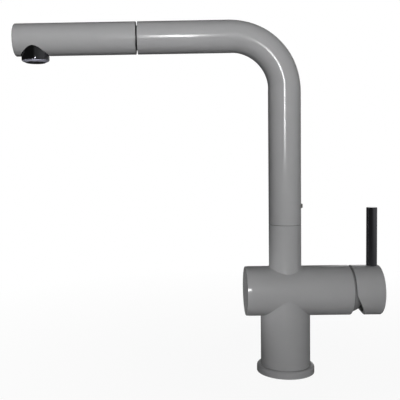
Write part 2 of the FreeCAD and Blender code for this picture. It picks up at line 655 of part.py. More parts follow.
def make_pin():
    """Straight pin whose stud bites on the stem."""
    low = "barrel_height + stem_side / 2"
    body = turned("pin", [
        ("0", low), ("pin_stud", low), ("pin_stud", "barrel_height + pin_seat"),
        ("pin_radius", "barrel_height + pin_seat"), ("pin_radius", "pin_top"), ("0", "pin_top")], [(4, "pin_round")])
    keep(lay(body, "up", x="pin_x"), "lever_pin")
    top = "barrel_height - stem_side / 2"
    screw = turned("grub", [
        ("0", top), ("grub_radius", top), ("grub_radius", top + " - grub_length"),
        ("grub_radius / 2", top + " - grub_length"), ("grub_radius / 2", top + " - grub_length + grub_radius"),
        ("0", top + " - grub_length + grub_radius")])
    keep(lay(screw, "up", x="pin_x"), "cap_grub_screw")


# Spout: bent tube, shank in the neck, docking sleeve and hose


def bent_pipe(name, outer, inner, foot, reach):
    """A pipe that rises on the column's axis, bends at the spout's radius and runs level to its reach."""
    body = document.addObject("PartDesign::Body", name)
    body.Placement = FreeCAD.Placement(V(0, 0, 0), FreeCAD.Rotation(V(0, 0, 1), 180))
    path = new_sketch(body, name + "_path")
    high, bend = size["tube_height"], size["bend_radius"]
    path.addGeometry(Part.LineSegment(V(0, high / 2, 0), V(0, high - bend, 0)), False)
    arc = Part.Arc(Part.Circle(V(bend, high - bend, 0), V(0, 0, 1), bend), math.pi / 2, math.pi)
    path.addGeometry(arc, False)
    path.addGeometry(Part.LineSegment(V(bend, high, 0), V(bend + 20, high, 0)), False)
    rules = [
        ("PointOnObject", (0, 1, -2), None), ("PointOnObject", (0, 2, -2), None),
        ("Coincident", (0, 2, 1, 2), None), ("Coincident", (1, 1, 2, 1), None),
        ("DistanceY", (-1, 1, 0, 1), foot), ("DistanceY", (-1, 1, 0, 2), "tube_height - bend_radius"),
        ("DistanceX", (-1, 1, 1, 3), "bend_radius"), ("DistanceY", (-1, 1, 1, 3), "tube_height - bend_radius"),
        ("DistanceX", (-1, 1, 2, 1), "bend_radius"), ("DistanceX", (-1, 1, 2, 2), reach),
        ("Horizontal", (2,), None),
    ]
    for kind, where, text in rules:
        if text is None:
            path.addConstraint(Sketcher.Constraint(kind, *where))
            continue
        point = path.getPoint(*where[2:])
        start = point.x if kind == "DistanceX" else point.y
        number = path.addConstraint(Sketcher.Constraint(kind, *where, start))
        path.setExpression("Constraints[%d]" % number, formula(text))
    section = new_sketch(body, name + "_section", "XY_Plane")
    section.setExpression("AttachmentOffset.Base.z", formula(foot))
    for radius in (outer, inner):
        number = section.addGeometry(Part.Circle(V(0, 0, 0), V(0, 0, 1), size[radius.split()[0]]), False)
        section.addConstraint(Sketcher.Constraint("Coincident", number, 3, -1, 1))
        rule = section.addConstraint(Sketcher.Constraint("Radius", number, size[radius.split()[0]]))
        section.setExpression("Constraints[%d]" % rule, formula(radius))
    document.recompute()
    pipe = body.newObject("PartDesign::AdditivePipe", name + "_pipe")
    pipe.Profile = section
    pipe.Spine = (path, ["Edge1", "Edge2", "Edge3"])
    document.recompute()
    return body


def make_spout_tube():
    tube = bent_pipe("spout", "tube_radius", "tube_radius - tube_wall", "neck_top + swivel_gap", "spout_end")
    ends = [is_circle(size["tube_radius"], UP, size["neck_top"] + size["swivel_gap"]),
            is_circle(size["tube_radius"], RIGHT, -size["spout_end"])]
    tube = rounded(tube, [(test, size["tube_round"]) for test in ends], "eased_spout")
    hole = rod("screw_radius", "2 * tube_radius", "right", z="screw_height")
    keep(cut(tube, [hole], "drilled_spout"), "spout_tube")
    start = "tube_radius + screw_proud - screw_length"
    screw = lay(turned("back_screw", [
        ("0", start), ("screw_radius", start), ("screw_radius", start + " + screw_length"),
        ("screw_radius / 2", start + " + screw_length"), ("screw_radius / 2", start + " + screw_length - screw_radius"),
        ("0", start + " + screw_length - screw_radius")]), "right", z="screw_height")
    keep(screw, "spout_grub_screw")


def wedge_points(reach, radius):
    """Corners of a pie slice of half angle reach about the -X direction, as a formula outline."""
    return [("0", "0")] + [("-%s * cos(%s * %s)" % (radius, reach, share), "%s * sin(%s * %s)" % (radius, reach, share))
                           for share in ("1", "0.5", "0", "-0.5", "-1")]


def pie(name, reach, radius, low, high, turn=0):
    """A pie slice about the -X direction between two heights, turned about Z."""
    body = document.addObject("PartDesign::Body", name)
    body.Placement = FreeCAD.Placement(V(0, 0, 0), FreeCAD.Rotation(V(0, 0, 1), turn))
    sketch = new_sketch(body, name + "_outline", "XY_Plane")
    sketch.setExpression("AttachmentOffset.Base.z", formula(low))
    corners = wedge_points(reach, radius)
    draw_outline(sketch, corners, (-10, 0), math.pi)
    pad = body.newObject("PartDesign::Pad", name + "_pad")
    pad.Profile = sketch
    bind(pad, Length="%s - (%s)" % (high, low))
    document.recompute()
    return body


def make_shank():
    """Brass shank: head in the tube, bearing in the bush, rings, snap ring and a stop notch in its end."""
    start = "neck_bore_floor + shank_floor_gap"
    snap_inside = shank_outside + " - snap_bite"
    snap_outside = "(%s + snap_stand)" % shank_outside
    groove = shank_outside + " - ring_depth"
    corners = [(shank_bore, start), (shank_outside, start), (shank_outside, "snap_start"),
               (snap_inside, "snap_start"), (snap_inside, "snap_start + snap_wide"),
               (shank_outside, "snap_start + snap_wide")]
    for low in ("ring_low", "ring_high"):
        corners += [(shank_outside, low), (groove, low), (groove, low + " + ring_wide"),
                    (shank_outside, low + " + ring_wide")]
    seat = "neck_top + swivel_gap"
    corners += [(shank_outside, seat), (tube_bore, seat), (tube_bore, "shank_head_top"),
                (shank_bore + " + shank_flare", "shank_head_top"), (shank_bore, "shank_head_top - 2 * shank_flare")]
    shank = turned("shank", corners)
    hole = rod("screw_radius", "tube_radius", "right", x="tube_radius + screw_proud - screw_length", z="screw_height")
    notch = pie("stop_notch", "notch_reach", "2 * " + shank_outside, start + " - 1", "notch_top", -90)
    keep(cut(shank, [hole, notch], "notched_shank"), "spout_shank")
    rings = [ring("guide_" + low, groove, shank_outside, low, low + " + ring_wide") for low in ("ring_low", "ring_high")]
    keep(joined(rings, "guide_rings"), "shank_rings")
    snap = ring("snap", snap_inside, snap_outside, "snap_start", "snap_start + snap_wide")
    opening = pie("snap_gap", "snap_open / 2", "2 * " + snap_outside, "snap_start - 1", "snap_start + snap_wide + 1")
    keep(cut(snap, [opening], "open_snap"), "shank_snap_ring")


def along_spout(body):
    return lay(body, "left", z="tube_height")


def make_docking_sleeve():
    end = "spout_end - sleeve_setback"
    keep(along_spout(turned("sleeve", [
        (sleeve_bore, end + " - sleeve_length"), (tube_bore, end + " - sleeve_length"), (tube_bore, end),
        (sleeve_mouth, end), (sleeve_bore, end + " - sleeve_wall")])),
        "docking_sleeve")


def make_hose():
    keep(bent_pipe("riser", "hose_radius", "hose_bore", "seal_height", "bend_radius + hose_lap"), "hose_riser")
    keep(along_spout(ring("reach", "hose_bore", "hose_radius", "bend_radius + hose_lap", "ferrule_start")), "hose_reach")


# Spray head: shell, docking spigot, hose end, waterway and nozzle

head_start = "spout_end + seam_gap"


def down(text):
    """A height given from the spout's axis downwards."""
    return "tube_height - (%s)" % text


def make_shell():
    inner = "tube_radius - head_wall"
    body = along_spout(turned("shell", [
        (inner, head_start), ("tube_radius", head_start), ("tube_radius", "head_end"), ("0", "head_end"),
        ("0", "head_end - head_end_wall"), (inner, "head_end - head_end_wall")],
        [(2, "head_round"), (1, "tube_round")]))
    hole = rod("nozzle_hole", "2 * tube_radius", x="-nozzle_x", z=down("2 * tube_radius"))
    keep(cut(body, [hole], "opened_shell"), "handset_shell")


def make_docking_spigot():
    start = head_start + " - spigot_length"
    end = head_start + " + spigot_seat"
    groove = start + " + 4"
    ring_seat = spigot_outside + " - spigot_groove"
    keep(along_spout(turned("spigot", [
        (spigot_bore, start), (spigot_outside, start), (spigot_outside, groove), (ring_seat, groove),
        (ring_seat, groove + " + ring_wide"), (spigot_outside, groove + " + ring_wide"),
        (spigot_outside, head_start + " + 0.3"), ("tube_radius - head_wall", head_start + " + 0.3"),
        ("tube_radius - head_wall", end), (spigot_bore, end)])), "docking_spigot")
    keep(along_spout(ring("spigot_o_ring", ring_seat, spigot_outside, groove, groove + " + ring_wide")),
         "spigot_ring")


def make_hose_end():
    """Crimped ferrule and the nut that screws into the waterway."""
    keep(along_spout(ring("ferrule", "hose_bore", "ferrule_radius", "ferrule_start", "ferrule_end")), "hose_ferrule")
    keep(along_spout(turned("union", [
        ("hose_bore", "ferrule_end"), (nut_collar, "ferrule_end"), (nut_collar, "nut_collar_end"),
        (nut_outside, "nut_collar_end"), (nut_outside, "inlet_floor"), ("hose_bore", "inlet_floor")])), "hose_nut")
    keep(along_spout(turned("valve", [
        ("hose_bore", "inlet_floor"), ("valve_body", "inlet_floor"), ("valve_body", "valve_end"),
        ("hose_bore", "valve_end"), ("hose_bore", "valve_end - 3"), ("0", "valve_end - 3"),
        ("0", "inlet_floor + 2"), ("hose_bore / 2", "inlet_floor + 2"), ("hose_bore / 2", "inlet_floor")])),
         "check_valve")


def make_waterway():
    """Moulded waterway from the hose nut to the nozzle."""
    socket = along_spout(turned("socket", [
        ("channel_radius", "valve_end"), ("valve_radius", "valve_end"), ("valve_radius", "inlet_floor"),
        (inlet_bore, "inlet_floor"), (inlet_bore, "inlet_start"), (inlet_outside, "inlet_start"),
        (inlet_outside, "valve_end"), ("channel_outer", "valve_end + %s - channel_outer" % inlet_outside),
        ("channel_outer", "nozzle_x"), ("channel_radius", "nozzle_x")]))
    low = "nozzle_shelf - aerator_flange_thick - gasket_thick"
    head = rod("waterway_head", "waterway_top + " + low, x="-nozzle_x", z=down(low))
    bore = rod("channel_radius", "nozzle_x - valve_end", "left", x="-valve_end", z="tube_height")
    well = rod("gasket_inner", low, x="-nozzle_x", z=down(low))
    keep(cut(joined([socket, head], "waterway_solid"), [bore, well], "bored_waterway"), "handset_waterway")


def at_nozzle(body):
    return lay(body, "up", x="-nozzle_x")


def make_nozzle():
    """Bevelled housing, aerator and washer below the waterway."""
    keep(at_nozzle(turned("nozzle", [
        ("nozzle_bore", down("nozzle_top")), ("nozzle_radius", down("nozzle_top")), ("nozzle_radius", down("nozzle_edge")),
        ("nozzle_mouth", down("nozzle_low")), ("nozzle_mouth", down("nozzle_shelf")),
        ("nozzle_bore", down("nozzle_shelf"))], [(2, "tube_round")])), "nozzle_housing")
    flange_top = down("nozzle_shelf - aerator_flange_thick")
    low = down("nozzle_low - aerator_set")
    keep(at_nozzle(turned("aerator", [
        ("aerator_bore", low), ("aerator_radius", low), ("aerator_radius", down("nozzle_shelf")),
        ("aerator_flange", down("nozzle_shelf")), ("aerator_flange", flange_top), ("aerator_bore", flange_top)])),
         "aerator_body")
    keep(at_nozzle(ring("gasket", "gasket_inner", "aerator_flange", flange_top, flange_top + " + gasket_thick")),
         "aerator_washer")
    grid = at_nozzle(ring("grid", "grid_hole", "aerator_bore", low, low + " + grid_thick"))
    holes = []
    for number, lap in ((6, 1), (12, 2)):
        for k in range(number):
            angle = "%d" % (360 * k // number)
            holes.append(rod("grid_hole", "grid_thick", x="-nozzle_x + %d * grid_pitch * cos(%s)" % (lap, angle),
                             y="%d * grid_pitch * sin(%s)" % (lap, angle), z=low))
    keep(cut(grid, holes, "drilled_grid"), "aerator_grid")


def export():
    """Checks every object and piece, then writes one file for each piece."""
    document.recompute()
    broken = [item.Label for item in document.Objects if "Invalid" in item.State or "Error" in item.State]
    if broken:
        raise RuntimeError("failed objects: " + ", ".join(broken))
    os.makedirs("parts", exist_ok=True)
    for piece in pieces:
        if piece.Shape.isNull() or not piece.Shape.isValid() or not piece.Shape.Solids:
            raise RuntimeError("no valid solid: " + piece.Label)
        piece.Shape.exportStep(os.path.join("parts", piece.Label + ".step"))
        box = piece.Shape.BoundBox
        print("%-18s solids %d  volume %9.1f mm3  x %7.1f..%7.1f  y %6.1f..%5.1f  z %6.1f..%6.1f" % (
            piece.Label, len(piece.Shape.Solids), piece.Shape.Volume, box.XMin, box.XMax, box.YMin, box.YMax,
            box.ZMin, box.ZMax))


make_tap_body()
make_inlet_block()
make_body_trim()
make_cartridge_seat()
make_cartridge_shell()
make_cartridge_nut()
make_bonnet()
make_moving_disc()
make_carrier()
make_stem()
make_cap()
make_pin()
make_spout_tube()
make_shank()
make_docking_sleeve()
make_hose()
make_shell()
make_docking_spigot()
make_hose_end()
make_waterway()
make_nozzle()
export()
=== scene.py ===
# %% [markdown]
# # A pull-out kitchen mixer tap
#
# The tap is a brass body under one coat of silk grey enamel: an upright column, a barrel lying across it
# and a short neck, with an L-shaped spout that ends in a pull-out spray head. Only the lever pin and the
# nozzle ring are bare, in black chrome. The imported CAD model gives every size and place. Here its visible
# pieces get rounder outlines, finer edges and their finishes, and the photograph's camera and light.

# %%
import math

import bmesh
import bpy
from mathutils import Matrix, Vector


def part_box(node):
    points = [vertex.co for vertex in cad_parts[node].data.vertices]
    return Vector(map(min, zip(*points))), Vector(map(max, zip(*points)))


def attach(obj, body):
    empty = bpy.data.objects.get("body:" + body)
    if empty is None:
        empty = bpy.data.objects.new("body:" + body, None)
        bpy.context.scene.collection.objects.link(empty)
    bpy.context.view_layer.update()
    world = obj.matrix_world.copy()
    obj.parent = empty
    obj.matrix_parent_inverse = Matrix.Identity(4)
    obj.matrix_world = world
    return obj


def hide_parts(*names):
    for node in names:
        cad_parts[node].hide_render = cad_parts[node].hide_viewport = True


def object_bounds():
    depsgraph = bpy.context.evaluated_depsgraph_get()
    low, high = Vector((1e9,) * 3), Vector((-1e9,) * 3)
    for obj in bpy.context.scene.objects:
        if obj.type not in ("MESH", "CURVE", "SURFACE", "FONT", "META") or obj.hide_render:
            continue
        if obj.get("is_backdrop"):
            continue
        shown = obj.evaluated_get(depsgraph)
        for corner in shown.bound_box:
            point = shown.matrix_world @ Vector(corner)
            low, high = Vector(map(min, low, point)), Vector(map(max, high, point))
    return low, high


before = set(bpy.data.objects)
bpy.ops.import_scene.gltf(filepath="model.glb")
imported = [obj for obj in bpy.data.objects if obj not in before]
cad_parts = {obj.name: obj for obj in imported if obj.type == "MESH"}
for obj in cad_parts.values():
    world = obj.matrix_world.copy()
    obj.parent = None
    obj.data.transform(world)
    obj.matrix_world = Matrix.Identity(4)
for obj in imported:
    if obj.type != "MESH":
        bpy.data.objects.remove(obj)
cad_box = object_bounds()
MM = 0.001

# %% [markdown]
# ## The camera
#
# A camera is fixed by where it stands, where it looks and how long its lens is. These values come from
# edges measured in the photograph. The lens is in millimetres for a sensor 36 mm wide, and the shift
# slides the frame across the image, because the photograph was cropped off its optical axis.

# %%
CAMERA_PLACE = Vector((-94.24, -547.29, 191.24)) * MM
YAW, PITCH, ROLL = math.radians(-0.796), math.radians(-3.358), math.radians(-0.854)
forward = Vector((math.sin(YAW) * math.cos(PITCH), math.cos(YAW) * math.cos(PITCH), math.sin(PITCH)))
level = forward.cross(Vector((0, 0, 1))).normalized()
upright = level.cross(forward)
camera_right = level * math.cos(ROLL) + upright * math.sin(ROLL)
camera_up = upright * math.cos(ROLL) - level * math.sin(ROLL)

lens = bpy.data.cameras.new("photograph")
lens.sensor_width = 36.0
lens.lens = 56.39
lens.shift_x = 0.0799
lens.shift_y = -0.0188
lens.clip_start = 0.01
camera = bpy.data.objects.new("photograph", lens)
turn = Matrix((camera_right, camera_up, -forward)).transposed().to_4x4()
camera.matrix_world = Matrix.Translation(CAMERA_PLACE) @ turn
bpy.context.scene.collection.objects.link(camera)
bpy.context.scene.camera = camera
print("camera distance to the column: %.0f mm" % (CAMERA_PLACE.xy.length / MM))

# %% [markdown]
# ## Nodes and colours
#
# Materials are built from nodes. One small function adds a node with its settings and links, and another
# turns an sRGB hex colour, as a colour picker shows it, to the linear light that shaders work in.


# %%
def linear(hex_colour):
    """Linear RGBA of an sRGB hex colour."""
    def channel(value):
        value /= 255
        return value / 12.92 if value <= 0.04045 else ((value + 0.055) / 1.055) ** 2.4
    code = hex_colour.lstrip("#")
    return tuple(channel(int(code[k:k + 2], 16)) for k in (0, 2, 4)) + (1.0,)


def add_node(tree, kind, settings=None, inputs=None):
    """Adds a node. An input that is a socket is linked, any other value is set."""
    node = tree.nodes.new(kind)
    for name, value in (settings or {}).items():
        setattr(node, name, value)
    for name, value in (inputs or {}).items():
        if isinstance(value, bpy.types.NodeSocket):
            tree.links.new(value, node.inputs[name])
        else:
            node.inputs[name].default_value = value
    return node


def new_material(name):
    """An empty material, its node tree and the place of a point on the object, in metres."""
    material = bpy.data.materials.new(name)
    material.use_nodes = True
    tree = material.node_tree
    tree.nodes.clear()
    return material, tree, add_node(tree, "ShaderNodeTexCoord").outputs["Object"]


# %% [markdown]
# ## Silk grey enamel
#
# Stoved polyester enamel, sprayed on ground brass. It is an opaque grey, and the binder on top gives a
# soft sheen with one narrow lamp streak. Sprayed enamel never dries quite flat. Its orange peel, waves a
# millimetre or two wide, breaks the streak into sparkles, and the pigment under it is a little cloudy.

# %%
CLOUD, PEEL, GRIT = 30 * MM, 1.6 * MM, 0.4 * MM
GRIT_DEPTH = 0.0012 * MM


def silk_grey_enamel(name, dark, light, peel_depth):
    material, tree, place = new_material(name)
    cloud = add_node(tree, "ShaderNodeTexNoise", inputs={"Vector": place, "Scale": 1 / CLOUD, "Detail": 3.0})
    tint = add_node(tree, "ShaderNodeMix", {"data_type": "RGBA"}, {
        0: cloud.outputs["Fac"], 6: linear(dark), 7: linear(light)})
    peel = add_node(tree, "ShaderNodeTexNoise", inputs={"Vector": place, "Scale": 1 / PEEL, "Detail": 1.0})
    skin = add_node(tree, "ShaderNodeBump", inputs={"Height": peel.outputs["Fac"], "Distance": peel_depth})
    grit = add_node(tree, "ShaderNodeTexNoise", inputs={"Vector": place, "Scale": 1 / GRIT})
    pigment = add_node(tree, "ShaderNodeBump", inputs={
        "Height": grit.outputs["Fac"], "Distance": GRIT_DEPTH, "Normal": skin.outputs["Normal"]})
    gloss = add_node(tree, "ShaderNodeMapRange", inputs={
        "Value": grit.outputs["Fac"], "From Min": 0.3, "From Max": 0.7, "To Min": 0.16, "To Max": 0.18})
    shader = add_node(tree, "ShaderNodeBsdfPrincipled", inputs={
        "Base Color": tint.outputs[2], "Roughness": gloss.outputs["Result"], "IOR": 1.5,
        "Coat Weight": 0.05, "Coat Roughness": 0.14, "Coat IOR": 1.5,
        "Coat Normal": skin.outputs["Normal"], "Normal": pigment.outputs["Normal"]})
    add_node(tree, "ShaderNodeOutputMaterial", inputs={"Surface": shader.outputs["BSDF"]})
    return material


# %% [markdown]
# ## Black chrome
#
# Polished steel with bright nickel and a thin black chromium on it. It mirrors the room at a fraction of
# its brightness, with faint polishing rings and a slight haze. The nozzle's bevel is painted pale and made
# rough instead of mirror: a painted reflection, which shows as a light line at its foot. The mask is a band
# of heights that the pin doesn't reach, outside the nozzle's mouth, which stays black.

# %%
# The pale colour given to the bevel below is a painted reflection, not a finish of the chrome.
CHROME_DARK, CHROME_LIGHT, PAINTED_BEVEL_REFLECTION = "#6c6c70", "#747479", "#b6b6c6"
CHROME_HAZE, BEVEL_BAND_ROUGHNESS = 4 * MM, 0.3
POLISH_WIDE, POLISH_RING, POLISH_DEPTH = 8 * MM, 0.25 * MM, 0.0008 * MM
BEVEL_LOW, BEVEL_HIGH = 273.0 * MM, 274.9 * MM
nozzle_low, nozzle_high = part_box("nozzle_housing")
NOZZLE_X, BEVEL_INSIDE = (nozzle_low.x + nozzle_high.x) / 2, 8.5 * MM


def black_chrome():
    material, tree, place = new_material("black_chrome")
    haze = add_node(tree, "ShaderNodeTexNoise", inputs={"Vector": place, "Scale": 1 / CHROME_HAZE})
    tint = add_node(tree, "ShaderNodeMix", {"data_type": "RGBA"}, {
        0: haze.outputs["Fac"], 6: linear(CHROME_DARK), 7: linear(CHROME_LIGHT)})
    height = add_node(tree, "ShaderNodeSeparateXYZ", inputs={"Vector": place}).outputs["Z"]
    above = add_node(tree, "ShaderNodeMath", {"operation": "GREATER_THAN"}, {0: height, 1: BEVEL_LOW})
    below = add_node(tree, "ShaderNodeMath", {"operation": "LESS_THAN"}, {0: height, 1: BEVEL_HIGH})
    band = add_node(tree, "ShaderNodeMath", {"operation": "MULTIPLY"}, {
        0: above.outputs[0], 1: below.outputs[0]})
    across = add_node(tree, "ShaderNodeMapping", inputs={
        "Vector": place, "Location": (-NOZZLE_X, 0, 0), "Scale": (1, 1, 0)})
    reach = add_node(tree, "ShaderNodeVectorMath", {"operation": "LENGTH"}, {0: across.outputs["Vector"]})
    outside = add_node(tree, "ShaderNodeMath", {"operation": "GREATER_THAN"}, {
        0: reach.outputs["Value"], 1: BEVEL_INSIDE})
    bevel = add_node(tree, "ShaderNodeMath", {"operation": "MULTIPLY"}, {
        0: band.outputs[0], 1: outside.outputs[0]})
    # Inside the bevel band the colour is a painted reflection, pale and rough.
    colour = add_node(tree, "ShaderNodeMix", {"data_type": "RGBA"}, {
        0: bevel.outputs[0], 6: tint.outputs[2], 7: linear(PAINTED_BEVEL_REFLECTION)})
    metal = add_node(tree, "ShaderNodeMath", {"operation": "SUBTRACT"}, {0: 1.0, 1: bevel.outputs[0]})
    hazy = add_node(tree, "ShaderNodeMapRange", inputs={
        "Value": haze.outputs["Fac"], "From Min": 0.3, "From Max": 0.7, "To Min": 0.05, "To Max": 0.08})
    gloss = add_node(tree, "ShaderNodeMath", {"operation": "MULTIPLY_ADD"}, {
        0: bevel.outputs[0], 1: BEVEL_BAND_ROUGHNESS, 2: hazy.outputs["Result"]})
    stretched = add_node(tree, "ShaderNodeMapping", inputs={
        "Vector": place, "Scale": (1 / POLISH_WIDE, 1 / POLISH_WIDE, 1 / POLISH_RING)})
    rings = add_node(tree, "ShaderNodeTexNoise", inputs={"Vector": stretched.outputs["Vector"], "Scale": 1.0})
    relief = add_node(tree, "ShaderNodeBump", inputs={
        "Height": rings.outputs["Fac"], "Distance": POLISH_DEPTH})
    shader = add_node(tree, "ShaderNodeBsdfPrincipled", inputs={
        "Base Color": colour.outputs[2], "Metallic": metal.outputs[0], "Roughness": gloss.outputs[0],
        "Normal": relief.outputs["Normal"]})
    add_node(tree, "ShaderNodeOutputMaterial", inputs={"Surface": shader.outputs["BSDF"]})
    return material


# %% [markdown]
# ## Turned metals
#
# Stainless steel for the screws and pins, brass for what is screwed or pressed into the body. Both keep
# the fine rings of the lathe, which spread a reflection across them. The rings are really a tenth of a
# millimetre apart, and are drawn at twice that so that they show.

# %%
METAL_CLOUD = 6 * MM
TURNING_WIDE, TURNING_RING, TURNING_DEPTH = 3 * MM, 0.2 * MM, 0.002 * MM


def turned_metal(name, dark, light, polished, dull):
    material, tree, place = new_material(name)
    cloud = add_node(tree, "ShaderNodeTexNoise", inputs={
        "Vector": place, "Scale": 1 / METAL_CLOUD, "Detail": 3.0})
    tint = add_node(tree, "ShaderNodeMix", {"data_type": "RGBA"}, {
        0: cloud.outputs["Fac"], 6: linear(dark), 7: linear(light)})
    gloss = add_node(tree, "ShaderNodeMapRange", inputs={
        "Value": cloud.outputs["Fac"], "From Min": 0.3, "From Max": 0.7, "To Min": polished, "To Max": dull})
    stretched = add_node(tree, "ShaderNodeMapping", inputs={
        "Vector": place, "Scale": (1 / TURNING_WIDE, 1 / TURNING_WIDE, 1 / TURNING_RING)})
    rings = add_node(tree, "ShaderNodeTexNoise", inputs={"Vector": stretched.outputs["Vector"], "Scale": 1.0})
    relief = add_node(tree, "ShaderNodeBump", inputs={
        "Height": rings.outputs["Fac"], "Distance": TURNING_DEPTH})
    shader = add_node(tree, "ShaderNodeBsdfPrincipled", inputs={
        "Base Color": tint.outputs[2], "Metallic": 1.0, "Roughness": gloss.outputs["Result"],
        "Normal": relief.outputs["Normal"]})
    add_node(tree, "ShaderNodeOutputMaterial", inputs={"Surface": shader.outputs["BSDF"]})
    return material


# %% [markdown]
# ## Plastics, rubber and ceramic
#
# All four are pressed in a mould, so they differ only in colour, in the grain of the mould's wall and in
# gloss. Acetal and nylon have a fine spark-eroded grain. Nitrile rubber is duller and coarser. The
# ceramic discs are lapped alumina, nearly a mirror, with hardly any grain.

# %%
MOULD_CLOUD, GRAIN_DEPTH = 10 * MM, 0.006 * MM


def moulded(name, dark, light, grain, polished, dull, sheen):
    material, tree, place = new_material(name)
    cloud = add_node(tree, "ShaderNodeTexNoise", inputs={
        "Vector": place, "Scale": 1 / MOULD_CLOUD, "Detail": 3.0})
    tint = add_node(tree, "ShaderNodeMix", {"data_type": "RGBA"}, {
        0: cloud.outputs["Fac"], 6: linear(dark), 7: linear(light)})
    wall = add_node(tree, "ShaderNodeTexNoise", inputs={"Vector": place, "Scale": 1 / grain})
    gloss = add_node(tree, "ShaderNodeMapRange", inputs={
        "Value": wall.outputs["Fac"], "From Min": 0.3, "From Max": 0.7, "To Min": polished, "To Max": dull})
    relief = add_node(tree, "ShaderNodeBump", inputs={"Height": wall.outputs["Fac"], "Distance": GRAIN_DEPTH})
    shader = add_node(tree, "ShaderNodeBsdfPrincipled", inputs={
        "Base Color": tint.outputs[2], "IOR": 1.48, "Specular IOR Level": sheen,
        "Roughness": gloss.outputs["Result"], "Normal": relief.outputs["Normal"]})
    add_node(tree, "ShaderNodeOutputMaterial", inputs={"Surface": shader.outputs["BSDF"]})
    return material


# %% [markdown]
# ## Braided hose
#
# The pull-out hose is nylon yarn braided over a soft tube. Its stitches are about 1.6 mm long, drawn as
# bricks whose grooves sink between the yarns. The hose lies inside the column and the spout.

# %%
STITCH, YARN, GROOVE = 1.6 * MM, 0.8 * MM, 0.12 * MM


def braided_hose():
    material, tree, place = new_material("nylon_braided_hose")
    weave = add_node(tree, "ShaderNodeTexBrick", inputs={
        "Vector": place, "Color1": linear("#5b5c5f"), "Color2": linear("#4d4e51"),
        "Mortar": linear("#2b2b2d"), "Scale": 1.0,
        "Mortar Size": GROOVE, "Brick Width": STITCH, "Row Height": YARN})
    relief = add_node(tree, "ShaderNodeBump", {"invert": True}, {
        "Height": weave.outputs["Fac"], "Distance": 0.06 * MM})
    shader = add_node(tree, "ShaderNodeBsdfPrincipled", inputs={
        "Base Color": weave.outputs["Color"], "Roughness": 0.6, "Normal": relief.outputs["Normal"]})
    add_node(tree, "ShaderNodeOutputMaterial", inputs={"Surface": shader.outputs["BSDF"]})
    return material


# %% [markdown]
# ## The finish of each slot
#
# The imported record names ten material slots. This table gives each of them its finish, for the new
# pieces and for the CAD meshes that stay. Two pieces get an enamel of their own. The spray head has a
# deeper orange peel. The collar in the gap gets a darker grey: painted shade for the gap it sits in.

# %%
# The collar's darker grey is painted shade, for the gap under the cap.
GREY_COAT, COLLAR_PAINTED_SHADE = ("#8b8b8c", "#939394"), ("#6c6c6d", "#737374")
THIN_PEEL, DEEP_PEEL = 0.024 * MM, 0.036 * MM

finishes = {
    "grey_lacquer": silk_grey_enamel("silk_grey_enamel", *GREY_COAT, THIN_PEEL),
    "dark_chrome": black_chrome(),
    "stainless_steel": turned_metal("turned_stainless_steel", "#9b9b98", "#b4b4b1", 0.22, 0.34),
    "brass": turned_metal("machined_brass", "#b08d4f", "#c7a669", 0.20, 0.32),
    "black_plastic": moulded("black_acetal", "#141415", "#1f1f20", 0.25 * MM, 0.38, 0.46, 0.5),
    "grey_plastic": moulded("grey_nylon", "#b3b5b6", "#c2c4c5", 0.3 * MM, 0.41, 0.49, 0.5),
    "black_rubber": moulded("nitrile_rubber", "#161616", "#212121", 0.4 * MM, 0.58, 0.66, 0.35),
    "ceramic": moulded("lapped_alumina", "#e6e4dc", "#eeece6", 0.2 * MM, 0.08, 0.16, 0.5),
    "hose_braid": braided_hose(),
    "white_plastic": moulded("bearing_plastic", "#dcdcd8", "#e7e7e4", 0.3 * MM, 0.36, 0.44, 0.5),
}
head_enamel = silk_grey_enamel("spray_head_enamel", *GREY_COAT, DEEP_PEEL)
# The collar's enamel is painted shade: a darker grey for the gap it sits in.
collar_painted_shade_enamel = silk_grey_enamel("collar_painted_shade_enamel", *COLLAR_PAINTED_SHADE, THIN_PEEL)
print("finishes:", ", ".join(material.name for material in finishes.values()))

# %% [markdown]
# ## Turned pieces
#
# Most of the tap was turned on a lathe, and a lathe is easy to copy: an outline of a few corners is
# rounded where the real edge is rounded, then spun about its axis. `bmesh.ops.bevel` on the outline's
# vertices rounds it, and `bmesh.ops.spin` sweeps it.

# %%
SMOOTH_UNDER = math.radians(32)
TURN_STEPS = 192
UP_COLUMN = Matrix.Identity(4)
barrel_low, barrel_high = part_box("barrel_end_disc")
BARREL_HEIGHT = (barrel_low.z + barrel_high.z) / 2
tube_low, tube_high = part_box("handset_shell")
TUBE_HEIGHT = (tube_low.z + tube_high.z) / 2
TUBE_RADIUS = (tube_high.y - tube_low.y) / 2
ALONG_BARREL = Matrix.Translation((0, 0, BARREL_HEIGHT)) @ Matrix.Rotation(math.radians(90), 4, "Y")
LEFT_ALONG_BARREL = Matrix.Translation((0, 0, BARREL_HEIGHT)) @ Matrix.Rotation(math.radians(-90), 4, "Y")
ALONG_SPOUT = Matrix.Translation((0, 0, TUBE_HEIGHT)) @ Matrix.Rotation(math.radians(-90), 4, "Y")
print("barrel axis %.1f mm, spout axis %.1f mm" % (BARREL_HEIGHT / MM, TUBE_HEIGHT / MM))


